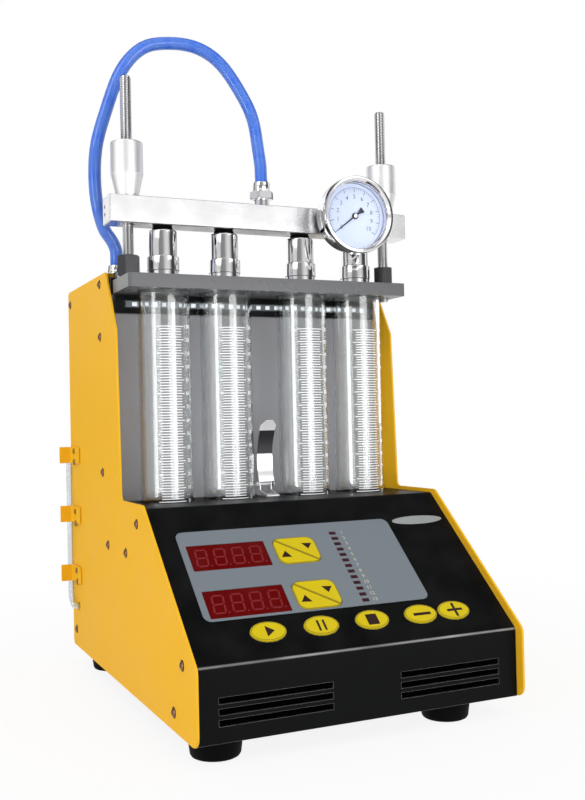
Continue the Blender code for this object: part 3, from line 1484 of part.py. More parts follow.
def build_tank(shop):
    """Fluid tank on the base plate, which the level tube opens into."""
    tank = box(shop, "fluid_tank", (TANK_WIDTH, TANK_DEPTH, TANK_HEIGHT), "tank")
    x = TANK_SIDE_GAP - INNER_X + TANK_WIDTH / 2
    y = REAR_PANEL_Y - 2 * SHEET - FIT - TANK_BACK_GAP - TANK_DEPTH / 2
    z = BOTTOM_Z + SHEET + FIT + TANK_HEIGHT / 2
    tank.location = (x, y, z)
    rounded(tank, TANK_EDGE)


def build_power_inlet(shop):
    """Inlet module through the rear cover, with its socket and the well of the switch."""
    place = (INLET_X, REAR_PANEL_Y + FIT, BOTTOM_Z + INLET_RISE)
    rear = shop.new_empty("rear", place, REARWARD, shop.machine)
    flange = rectangle(INLET_WIDTH, INLET_HEIGHT, INLET_RADIUS)
    module = prism(shop, "power_inlet", [flange], INLET_FLANGE, "plastic", parent=rear)
    module.location = (0, 0, INLET_FLANGE / 2)
    inset = 2 * INLET_BODY_MARGIN
    body = rectangle(INLET_WIDTH - inset, INLET_HEIGHT - inset, INLET_RADIUS)
    length = INLET_BODY_DEPTH + INLET_FLANGE / 2
    core = prism(shop, "body", [body], length, None, parent=rear)
    core.location = (0, 0, INLET_FLANGE / 2 - length / 2)
    combined(shop, module, [core], "UNION")
    half_width = SOCKET_WIDTH / 2
    half_height = SOCKET_HEIGHT / 2
    socket_outline = rounded_outline(
        [
            (-half_width, -half_height, 0),
            (half_width, -half_height, 0),
            (half_width, half_height - SOCKET_CHAMFER, 0),
            (half_width - SOCKET_CHAMFER, half_height, 0),
            (SOCKET_CHAMFER - half_width, half_height, 0),
            (-half_width, half_height - SOCKET_CHAMFER, 0),
        ]
    )
    depth = SOCKET_DEPTH + CUT_OVERRUN
    socket = prism(shop, "socket", [socket_outline], depth, None, parent=rear)
    socket.location = (0, -SOCKET_OFFSET, INLET_FLANGE - SOCKET_DEPTH + depth / 2)
    depth = ROCKER_WELL + CUT_OVERRUN
    size = (ROCKER_WIDTH + 2 * ROCKER_GAP, ROCKER_HEIGHT + 2 * ROCKER_GAP, depth)
    well = box(shop, "well", size, None, parent=rear)
    well.location = (0, ROCKER_OFFSET, INLET_FLANGE - ROCKER_WELL + depth / 2)
    combined(shop, module, [socket, well], "DIFFERENCE")
    build_rocker(shop, rear)


def build_rocker(shop, rear):
    """Rocker with a shallow dip, tilted to its off side, about a pivot under its middle."""
    half = ROCKER_HEIGHT / 2
    stand = ROCKER_DEPTH / 2
    outline = [
        Vector((-half, -stand / 2)),
        Vector((0.0, -stand)),
        Vector((half, -stand / 2)),
        Vector((half, stand)),
        Vector((0.0, stand - ROCKER_DIP)),
        Vector((-half, stand)),
    ]
    place = (0, ROCKER_OFFSET, INLET_FLANGE + ROCKER_STAND - stand)
    pivot = shop.new_empty("rocker_pivot", place, (-ROCKER_TILT, 0, 0), rear)
    rocker = prism(
        shop, "power_switch", [outline], ROCKER_WIDTH, "plastic", parent=pivot, rotation=ACROSS
    )
    rounded(rocker, ROCKER_ROUND, 1)


def build():
    """Make every piece."""
    clear_scene()
    shop = Shop()
    slope = shop.new_empty("slope", (0, COVER_Y, LOW_BEND_Z), (SLOPE_ANGLE, 0, 0), shop.machine)
    build_side_panels(shop)
    build_base_plate(shop)
    build_feet(shop)
    build_control_cover(shop, slope)
    build_label(shop, slope)
    build_arrow_keys(shop, slope)
    build_oval_keys(shop, slope)
    build_control_board(shop, slope)
    build_tube_base(shop)
    build_bay_back_panel(shop)
    build_rear_cover(shop)
    build_light_bar(shop)
    build_top_plate(shop)
    build_tubes(shop)
    build_rods(shop)
    build_clamp_nuts(shop)
    build_adapters(shop)
    build_rail(shop)
    build_gauge(shop)
    build_hose_fittings(shop)
    build_hose(shop)
    build_latch(shop)
    build_level_tube(shop)
    build_clips(shop)
    build_tank(shop)
    build_power_inlet(shop)


build()
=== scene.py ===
"""Dresses the bench cleaner and tester for injectors: view, light, finishes and fine pieces.

Metres, +Z up, and the front faces -Y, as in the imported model.
"""

import logging
import math
from collections.abc import Iterable, Sequence
from dataclasses import dataclass, replace
from enum import Enum
from itertools import pairwise

import bpy
from mathutils import Matrix, Vector


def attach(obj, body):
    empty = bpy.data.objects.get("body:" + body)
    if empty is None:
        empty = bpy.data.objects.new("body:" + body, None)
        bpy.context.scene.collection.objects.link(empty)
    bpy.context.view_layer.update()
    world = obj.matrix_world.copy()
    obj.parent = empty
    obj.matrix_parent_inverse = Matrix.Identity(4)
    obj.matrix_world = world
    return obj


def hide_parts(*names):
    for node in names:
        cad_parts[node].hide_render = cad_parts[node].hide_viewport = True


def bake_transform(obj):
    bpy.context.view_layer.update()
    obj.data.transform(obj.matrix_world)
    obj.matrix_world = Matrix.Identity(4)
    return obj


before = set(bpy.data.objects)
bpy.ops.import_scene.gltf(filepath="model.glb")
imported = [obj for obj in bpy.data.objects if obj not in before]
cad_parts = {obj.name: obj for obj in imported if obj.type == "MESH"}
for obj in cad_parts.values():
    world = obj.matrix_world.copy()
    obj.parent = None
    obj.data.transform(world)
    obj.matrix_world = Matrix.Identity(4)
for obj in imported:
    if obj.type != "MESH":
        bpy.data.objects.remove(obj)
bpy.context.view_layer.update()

log = logging.getLogger("tester")

Point = tuple[float, float, float]
Flat = tuple[float, float]
Colour = tuple[float, float, float]
Thing = bpy.types.Object
Node = bpy.types.Node
Socket = bpy.types.NodeSocket

FIT = 0.0003
INK = 0.00005
SHEET = 0.002
MERGE = 1e-6
MIDDLE_X = 0.0031
HALF_WIDTH = 0.1375
BOTTOM_Z = 0.015
COVER_Y = -0.1845
LOW_BEND_Z = 0.068879
SLOPE_TURN = math.radians(39.987)
LABEL_TOP = 0.0008
KEY_TOP = 0.0014
BAY_Y = -0.0012
TUBE_XS = (-0.0952, -0.0377, 0.0377, 0.0952)
ROD_X = 0.1262
PLATE_Z = 0.3545
PLATE_TOP_Z = 0.3665
ADAPTER_Z = 0.3668
SEAL_Z = 0.4083
CLAMP_NUT_Z = 0.4355
BACK_PANEL_Y = 0.026
REAR_PANEL_Y = 0.1875
SMOOTH_ANGLE = math.radians(32)
SHARP_ANGLE = math.radians(30)
FULL_TURN = 2 * math.pi
CAP_HEIGHT = 0.7
SIDES = (("left", -1), ("right", 1))
WHITE = (1.0, 1.0, 1.0)
DUST = (0.3, 0.29, 0.27)
HOSE_LENGTH = 0.406


class Way(Enum):
    """Which way a piece that is modelled about +Z faces in its place, as a turn about Z."""

    FRONT = 0.0
    BACK = math.pi
    LEFT = -math.pi / 2
    RIGHT = math.pi / 2

    def at(self, place: Point) -> Matrix:
        """Give the transform that turns a piece this way and sets it at a place."""
        turn = Matrix.Rotation(self.value, 4, "Z") @ Matrix.Rotation(math.pi / 2, 4, "X")
        return Matrix.Translation(place) @ turn


SLOPE = Matrix.Translation((MIDDLE_X, COVER_Y, LOW_BEND_Z)) @ Matrix.Rotation(SLOPE_TURN, 4, "X")


def moved(x: float, y: float, z: float) -> Matrix:
    """Give the transform that only moves a piece."""
    return Matrix.Translation((x, y, z))


def on_bay(x: float) -> Matrix:
    """Give the transform to the bay's line, this far from the machine's middle."""
    return moved(MIDDLE_X + x, BAY_Y, 0.0)


def linked(name: str, data: bpy.types.ID) -> Thing:
    """Put data in the scene, as an object.

    Args:
        name: The object's name.
        data: Its mesh, curve, light or camera.

    Returns:
        The object.
    """
    thing = bpy.data.objects.new(name, data)
    bpy.context.scene.collection.objects.link(thing)
    return thing


def quarter(centre: Flat, radius: float, first: float) -> list[Flat]:
    """Give the points of a quarter round, clockwise from this many degrees."""
    turn = [math.radians(first - 22.5 * step) for step in range(5)]
    return [(centre[0] + radius * math.cos(a), centre[1] + radius * math.sin(a)) for a in turn]


def eased(radius: float, height: float, way: int = 1) -> list[Flat]:
    """Ease the outer corner of a turned piece, from its face to its side.

    Args:
        radius: The corner's radius.
        height: The corner's height.
        way: 1 at a top, -1 at a foot.

    Returns:
        The points.
    """
    long, short = 0.0012, 0.0004
    side = (radius, height - way * long)
    return [(radius - long, height), (radius - short, height - way * short), side]


class Recipe:
    """Short calls that build one node tree."""

    def __init__(self, tree: bpy.types.NodeTree) -> None:
        """Keep the tree."""
        self.tree = tree

    def node(
        self, kind: str, settings: dict | None = None, inputs: dict | None = None, **sockets: object
    ) -> Node:
        """Add a node and feed its sockets.

        Args:
            kind: The node's type, without its ShaderNode prefix.
            settings: Attributes to set on the node.
            inputs: Values or sockets by input number.
            **sockets: Values or sockets by input name, with _ for a space.

        Returns:
            The new node.
        """
        made = self.tree.nodes.new(f"ShaderNode{kind}")
        for name, value in (settings or {}).items():
            setattr(made, name, value)
        for number, value in (inputs or {}).items():
            self.feed(made.inputs[number], value)
        return self.fill(made, **sockets)

    def fill(self, node: Node, **sockets: object) -> Node:
        """Feed a node's sockets.

        Args:
            node: The node.
            **sockets: Values or sockets by input name, with _ for a space.

        Returns:
            The node.
        """
        for name, value in sockets.items():
            self.feed(node.inputs[name.replace("_", " ")], value)
        return node

    def feed(self, socket: Socket, value: object) -> None:
        """Link a socket, or set its value; a colour gets its alpha.

        Args:
            socket: The input.
            value: An output socket or a plain value.
        """
        if isinstance(value, Socket):
            self.tree.links.new(value, socket)
        else:
            socket.default_value = (*value, 1.0) if socket.type == "RGBA" else value

    def maths(self, operation: str, *values: object) -> Socket:
        """Add a maths node and give its output."""
        return self.node("Math", {"operation": operation}, dict(enumerate(values))).outputs[0]

    def times(self, first: object, second: object) -> Socket:
        """Multiply two values."""
        return self.maths("MULTIPLY", first, second)

    def plus(self, first: object, second: object) -> Socket:
        """Add two values."""
        return self.maths("ADD", first, second)

    def less(self, first: object, second: object) -> Socket:
        """Take the second value from the first."""
        return self.maths("SUBTRACT", first, second)

    def most(self, first: object, second: object) -> Socket:
        """Give the larger of two values."""
        return self.maths("MAXIMUM", first, second)

    def vector(self, operation: str, *values: object) -> Node:
        """Add a vector maths node."""
        return self.node("VectorMath", {"operation": operation}, dict(enumerate(values)))

    def apart(self, vector: Socket) -> bpy.types.bpy_prop_collection:
        """Split a vector into X, Y and Z."""
        return self.node("SeparateXYZ", Vector=vector).outputs

    def blend(self, share: object, first: object, second: object) -> Socket:
        """Mix two colours; the share is the second's."""
        mixed = self.node("Mix", {"data_type": "RGBA"}, {0: share, 6: first, 7: second})
        return mixed.outputs[2]

    def noise(self, place: Socket, scale: object, detail: float = 2.0) -> Socket:
        """Add a noise texture with this scale per metre."""
        return self.node("TexNoise", Vector=place, Scale=scale, Detail=detail).outputs[0]

    def span(self, value: object, low: float, high: float) -> Socket:
        """Stretch what lies from low to high over 0 to 1, clamped."""
        return self.node("MapRange", Value=value, From_Min=low, From_Max=high).outputs[0]

    def bump(self, height: Socket, strength: float, distance: float) -> Socket:
        """Give the normal that a height bends."""
        return self.node("Bump", Height=height, Strength=strength, Distance=distance).outputs[0]

    def ramp(self, value: object, stops: Sequence[Flat]) -> Socket:
        """Read grey levels off a ramp.

        Args:
            value: Where to read.
            stops: Each stop's place and grey level.

        Returns:
            The level.
        """
        made = self.node("ValToRGB", Fac=value)
        points = made.color_ramp.elements
        while len(points) < len(stops):
            points.new(0.5)
        for point, (place, level) in zip(points, stops):
            point.position = place
            point.color = (level, level, level, 1.0)
        return made.outputs[0]


class Effect(Enum):
    """Surface effects that several finishes share: name, inputs and outputs."""

    PEEL = ("sprayed_peel", {"Scale": 900.0}, ("Height", "Mottle"))
    WEAR = ("edge_wear", {"Width": 0.0006, "Gaps": 1.0}, ("Mask",))
    DUST = ("settled_dust", {"Amount": 0.2}, ("Mask",))
    GRAIN = (
        "drawn_grain", {"Along X": 40.0, "Along Y": 40.0, "Along Z": 2500.0}, ("Height", "Tone")
    )
    SMUDGE = ("handling_smudge", {"Scale": 24.0}, ("Shift",))


class Effects:
    """Builds each shared effect once, as a node group, and places it in a material."""

    def __init__(self) -> None:
        """Start with none built."""
        self.made: dict[Effect, bpy.types.NodeTree] = {}

    def place(self, recipe: Recipe, effect: Effect, **sockets: object) -> Sequence[Socket]:
        """Put an effect in a material.

        Args:
            recipe: The material's recipe.
            effect: Which effect.
            **sockets: Its inputs, with _ for a space.

        Returns:
            The group's outputs.
        """
        if effect not in self.made:
            self.made[effect] = self.build(effect)
        return recipe.node("Group", {"node_tree": self.made[effect]}, **sockets).outputs

    def build(self, effect: Effect) -> bpy.types.NodeTree:
        """Make an effect's node group.

        Args:
            effect: Which effect.

        Returns:
            The group.
        """
        name, inputs, outputs = effect.value
        tree = bpy.data.node_groups.new(name, "ShaderNodeTree")
        for label, value in inputs.items():
            socket = tree.interface.new_socket(label, in_out="INPUT", socket_type="NodeSocketFloat")
            socket.default_value = value
        for label in outputs:
            tree.interface.new_socket(label, in_out="OUTPUT", socket_type="NodeSocketFloat")
        recipe = Recipe(tree)
        place = recipe.node("TexCoord").outputs["Object"]
        given = tree.nodes.new("NodeGroupInput").outputs
        leave = tree.nodes.new("NodeGroupOutput")
        results = getattr(self, effect.name.lower())(recipe, place, given)
        for label, value in zip(outputs, results):
            recipe.feed(leave.inputs[label], value)
        return tree

    def peel(self, recipe: Recipe, place: Socket, given: Sequence[Socket]) -> tuple:
        """Make fine orange peel, and slow changes of tone."""
        return recipe.noise(place, given["Scale"], 3.0), recipe.noise(place, 14.0, 4.0)

    def wear(self, recipe: Recipe, place: Socket, given: Sequence[Socket]) -> tuple:
        """Mask the edges that hands and tools have scuffed, broken up by noise; the fewer the gaps,
        the more it runs unbroken, as a painted highlight along the edges.

        Args:
            recipe: The group's recipe.
            place: Object coordinates.
            given: The group's inputs.

        Returns:
            The mask.
        """
        bevel = recipe.node("Bevel", {"samples": 4}, Radius=given["Width"])
        normal = recipe.node("NewGeometry").outputs["Normal"]
        dot = recipe.vector("DOT_PRODUCT", bevel.outputs[0], normal)
        edge = recipe.span(recipe.less(1.0, dot.outputs["Value"]), 0.02, 0.16)
        broken = recipe.span(recipe.noise(place, 160.0, 5.0), 0.45, 0.7)
        whole = recipe.less(1.0, given["Gaps"])
        return (recipe.times(edge, recipe.most(broken, whole)),)

    def dust(self, recipe: Recipe, place: Socket, given: Sequence[Socket]) -> tuple:
        """Mask thin dust on what faces up.

        Args:
            recipe: The group's recipe.
            place: Object coordinates.
            given: The group's inputs.

        Returns:
            The mask.
        """
        up = recipe.apart(recipe.node("NewGeometry").outputs["Normal"])["Z"]
        cloud = recipe.span(recipe.noise(place, 38.0, 6.0), 0.35, 0.75)
        both = recipe.times(recipe.span(up, 0.35, 1.0), cloud)
        return (recipe.times(both, given["Amount"]),)

    def grain(self, recipe: Recipe, place: Socket, given: Sequence[Socket]) -> tuple:
        """Draw the lines of a drawn, turned or ground metal surface.

        Args:
            recipe: The group's recipe.
            place: Object coordinates.
            given: The group's inputs.

        Returns:
            The lines' height and tone.
        """
        along = {axis: given[f"Along {axis}"] for axis in "XYZ"}
        stretch = recipe.node("CombineXYZ", **along)
        scaled = recipe.vector("MULTIPLY", place, stretch.outputs[0])
        lines = recipe.noise(scaled.outputs[0], 1.0, 4.0)
        return lines, recipe.span(lines, 0.3, 0.7)

    def smudge(self, recipe: Recipe, place: Socket, given: Sequence[Socket]) -> tuple:
        """Shift the roughness as wiping and fingers do, from -0.5 to 0.5."""
        cloud = recipe.noise(place, given["Scale"], 5.0)
        return (recipe.less(recipe.span(cloud, 0.3, 0.7), 0.5),)


effects = Effects()


@dataclass(frozen=True)
class Finish:
    """What every finish has, and the start of its material."""

    name: str
    colour: Colour

    def start(self) -> tuple[bpy.types.Material, Recipe, Node]:
        """Make a material with a Principled shader in the plain colour.

        Returns:
            The material, its recipe and its shader.
        """
        material = bpy.data.materials.new(self.name)
        material.use_nodes = True
        material.diffuse_color = (*self.colour, 1.0)
        recipe = Recipe(material.node_tree)
        shader = material.node_tree.nodes["Principled BSDF"]
        return material, recipe, recipe.fill(shader, Base_Color=self.colour)

    def toned(self, recipe: Recipe, mask: Socket, share: float, depth: float) -> Socket:
        """Deepen the colour to this depth where a share of the mask says so."""
        deeper = tuple(value * depth for value in self.colour)
        return recipe.blend(recipe.times(mask, share), self.colour, deeper)

    def smudged(self, recipe: Recipe, roughness: float, share: float, **scale: float) -> Socket:
        """Vary a roughness by this share, as handling does."""
        shift = effects.place(recipe, Effect.SMUDGE, **scale)["Shift"]
        return recipe.plus(recipe.times(shift, share), roughness)


@dataclass(frozen=True)
class Coating(Finish):
    """Sprayed, moulded or printed skin: fine peel, scuffed edges, smudges and a little dust; a
    paint may also carry a painted highlight along its edges and along a fold.
    """

    roughness: float
    peel: float = 0.3
    peel_scale: float = 900.0
    mottle: float = 0.05
    wear: float = 0.25
    worn: Colour = (0.5, 0.5, 0.5)
    gaps: float = 1.0
    dust: float = 0.03
    smudge: float = 0.1
    specular: float = 0.2
    fold: Flat | None = None
    fold_width: float = 0.0013

    def make(self) -> bpy.types.Material:
        """Build the material.

        Returns:
            The material.
        """
        material, recipe, shader = self.start()
        peel = effects.place(recipe, Effect.PEEL, Scale=self.peel_scale)
        wear = effects.place(recipe, Effect.WEAR, Gaps=self.gaps)
        dust = effects.place(recipe, Effect.DUST, Amount=self.dust)
        wear_and_sheen_mask = recipe.times(wear["Mask"], self.wear)
        # The painted highlight along the fold is added to the edge wear.
        if self.fold:
            wear_and_sheen_mask = recipe.most(wear_and_sheen_mask, self.rubbed_fold(recipe))
        plain = self.toned(recipe, peel["Mottle"], self.mottle, 0.72)
        tone = recipe.blend(wear_and_sheen_mask, plain, self.worn)
        recipe.fill(
            shader,
            Base_Color=recipe.blend(dust["Mask"], tone, DUST),
            Roughness=self.smudged(recipe, self.roughness, self.smudge),
            Normal=recipe.bump(peel["Height"], self.peel, 0.0002),
            Specular_IOR_Level=self.specular,
        )
        return material

    def rubbed_fold(self, recipe: Recipe) -> Socket:
        """Mask a painted highlight along a fold that runs along X: the light that the bend catches,
        painted in.
        """
        place = recipe.node("TexCoord").outputs["Object"]
        spot = recipe.apart(place)
        across = recipe.less(spot["Y"], self.fold[0])
        above = recipe.less(spot["Z"], self.fold[1])
        square = recipe.plus(recipe.times(across, across), recipe.times(above, above))
        near = recipe.span(recipe.maths("SQRT", square), self.fold_width, self.fold_width / 3)
        return recipe.times(near, recipe.span(recipe.noise(place, 22.0), 0.1, 0.75))


@dataclass(frozen=True)
class Metal(Finish):
    """Bare or plated metal with the lines of its drawing, turning or grinding."""

    roughness: float
    along: Point = (40.0, 2500.0, 2500.0)
    grain: float = 0.12
    tone: float = 0.06
    smudge: float = 0.08

    def make(self) -> bpy.types.Material:
        """Build the material.

        Returns:
            The material.
        """
        material, recipe, shader = self.start()
        along = dict(zip(("Along_X", "Along_Y", "Along_Z"), self.along))
        grain = effects.place(recipe, Effect.GRAIN, **along)
        recipe.fill(
            shader,
            Base_Color=self.toned(recipe, grain["Tone"], self.tone, 0.8),
            Roughness=self.smudged(recipe, self.roughness, self.smudge, Scale=40.0),
            Normal=recipe.bump(grain["Height"], self.grain, 0.0001),
            Metallic=1.0,
        )
        return material


@dataclass(frozen=True)
class Clear(Finish):
    """Glass or clear plastic, with faint wipe marks in its gloss."""

    ior: float = 1.5
    roughness: float = 0.01
    coat: float = 0.0

    def make(self) -> bpy.types.Material:
        """Build the material.

        Returns:
            The material.
        """
        material, recipe, shader = self.start()
        recipe.fill(
            shader,
            Roughness=self.smudged(recipe, self.roughness, self.roughness, Scale=60.0),
            Transmission_Weight=1.0,
            IOR=self.ior,
            Coat_Weight=self.coat,
            Coat_IOR=1.9,
            Coat_Roughness=0.03,
        )
        return material


@dataclass(frozen=True)
class Lit(Finish):
    """Ink, display segments or a light strip, with a faint glow; on printed ink the glow is painted
    light.
    """

    glow: float = 0.0
    roughness: float = 0.45

    def make(self) -> bpy.types.Material:
        """Build the material.

        Returns:
            The material.
        """
        material, recipe, shader = self.start()
        peel = effects.place(recipe, Effect.PEEL, Scale=2400.0)
        recipe.fill(
            shader,
            Base_Color=self.toned(recipe, peel["Height"], 0.3, 0.85),
            Roughness=self.roughness,
            Emission_Color=self.colour,
            Emission_Strength=self.glow,
        )
        return material


@dataclass(frozen=True)
class Braided(Finish):
    """Clear blue hose over a pale braid, which follows the hose on its UV map."""

    thread: Colour
    length: float
    strands: int = 8
    pitch: float = 0.011
    share: float = 0.45

    def make(self) -> bpy.types.Material:
        """Build the material.

        Returns:
            The material.
        """
        material, recipe, shader = self.start()
        place = recipe.apart(recipe.node("UVMap").outputs[0])
        around = recipe.times(place["X"], float(self.strands))
        along = recipe.times(place["Y"], self.length / self.pitch)
        bands = []
        for turn in (recipe.plus(along, around), recipe.less(along, around)):
            bands.append(recipe.span(recipe.maths("PINGPONG", turn, 0.5), 0.16, 0.04))
        braid = recipe.most(*bands)
        recipe.fill(
            shader,
            Base_Color=recipe.blend(recipe.times(braid, self.share), self.colour, self.thread),
            Normal=recipe.bump(braid, 0.5, 0.0002),
            Roughness=0.3,
            Coat_Weight=0.75,
            Coat_Roughness=0.1,
        )
        return material


# Strong, mostly unbroken pale edges: partly edge wear, partly a painted highlight along the edges.
BLACK_PAINT = Coating(
    "black_paint", (0.003, 0.0033, 0.0038), 0.36, peel=0.25, wear=0.7, worn=(0.42, 0.42, 0.42),
    gaps=0.35, specular=0.07,
)

FINISHES = (
    Coating("yellow_paint", (0.88, 0.475, 0.016), 0.55, worn=(0.95, 0.7, 0.3), specular=0.1),
    BLACK_PAINT,
    # The cover's black paint, with a painted highlight along its low bend.
    replace(BLACK_PAINT, name="cover_paint_painted_highlight", fold=(COVER_Y, LOW_BEND_Z)),
    Coating(
        "black_block", (0.004, 0.0042, 0.0045), 0.42, peel_scale=1500.0, wear=0.1, specular=0.1
    ),
    Coating("grey_paint", (0.255, 0.255, 0.27), 0.38, peel=0.15, wear=0.2, specular=0.3),
    Coating("dark_plate", (0.125, 0.127, 0.133), 0.3, peel=0.15, specular=0.5, wear=0.12, gaps=0.5),
    Coating("black_steel", (0.022, 0.022, 0.026), 0.32, peel=0.2, specular=0.6, wear=0.5),
    Coating(
        "black_rubber", (0.002, 0.002, 0.0024), 0.62, peel=0.5, peel_scale=2500.0, wear=0.0,
        specular=0.05,
    ),
    # Near black, with no gloss: painted shade behind the vent slots.
    Coating(
        "vent_painted_shade", (0.0008, 0.0008, 0.001), 0.8, peel=0.1, wear=0.0, dust=0.0, specular=0.0
    ),
    Coating(
        "grey_label", (0.18, 0.207, 0.232), 0.45, peel=0.12, peel_scale=3500.0, wear=0.0,
        specular=0.1,
    ),
    Coating("red_display", (0.115, 0.0015, 0.0015), 0.2, peel=0.02, wear=0.0, specular=0.05),
    Coating(
        "key_yellow", (0.63, 0.49, 0.008), 0.4, peel=0.12, peel_scale=2600.0, wear=0.0,
        specular=0.08,
    ),
    Coating("key_rim", (0.32, 0.24, 0.02), 0.4, wear=0.0, specular=0.08),
    Coating("key_mark", (0.03, 0.012, 0.01), 0.45, wear=0.0, specular=0.1),
    Coating("dial_face", (0.6, 0.675, 0.9), 0.5, peel=0.05, wear=0.0, dust=0.0, specular=0.1),
    Coating("needle_black", (0.02, 0.022, 0.035), 0.4, peel=0.05, wear=0.0, dust=0.0),
    Coating("black_plastic", (0.008, 0.008, 0.009), 0.4, peel=0.5, peel_scale=2200.0, wear=0.05),
    Coating("tank_plastic", (0.75, 0.76, 0.74), 0.5, wear=0.0),
    Coating("silver_sticker", (0.3, 0.32, 0.32), 0.4, peel=0.1, wear=0.0),
    # Pale matte top of the latch lever: painted highlight.
    Coating("latch_top_painted_highlight", (0.85, 0.85, 0.86), 0.3, peel=0.05, wear=0.0, dust=0.0),
    Metal("zinc_steel", (0.6, 0.6, 0.61), 0.12, along=(900.0, 900.0, 300.0)),
    Metal("satin_aluminium", (0.8, 0.8, 0.81), 0.26, along=(40.0, 2500.0, 2500.0)),
    Metal("turned_aluminium", (0.92, 0.92, 0.925), 0.48, along=(60.0, 60.0, 3500.0)),
    Metal("polished_metal", (0.82, 0.82, 0.83), 0.09, along=(60.0, 60.0, 2500.0), grain=0.04),
    Metal("latch_steel", (0.82, 0.82, 0.83), 0.2, along=(60.0, 60.0, 2500.0), grain=0.04),
    Metal("copper_screw", (0.26, 0.13, 0.075), 0.3, along=(700.0, 700.0, 700.0)),
    Clear("tube_glass", (0.97, 0.985, 0.985), coat=0.15),
    Clear("lens_glass", WHITE, 1.3),
    Clear("clear_tube", (0.8, 0.82, 0.84), 1.42, 0.02),
    # The scale's ink glows a little: painted light that keeps the ticks bright.
    Lit("scale_ink_painted_glow", (0.9, 0.91, 0.92), 0.3),
    Lit("dial_ink", (0.06, 0.07, 0.14)),
    Lit("pale_ink", (0.55, 0.53, 0.34)),
    Lit("lamp_lens", (0.035, 0.003, 0.008), 0.0, 0.3),
    Lit("display_segment", (0.19, 0.005, 0.009), 0.03, 0.4),
    Lit("light_spot", (0.9, 0.92, 0.95), 0.35, 0.3),
    Braided("blue_hose", (0.001, 0.105, 0.68), (0.3, 0.55, 0.95), HOSE_LENGTH),
)


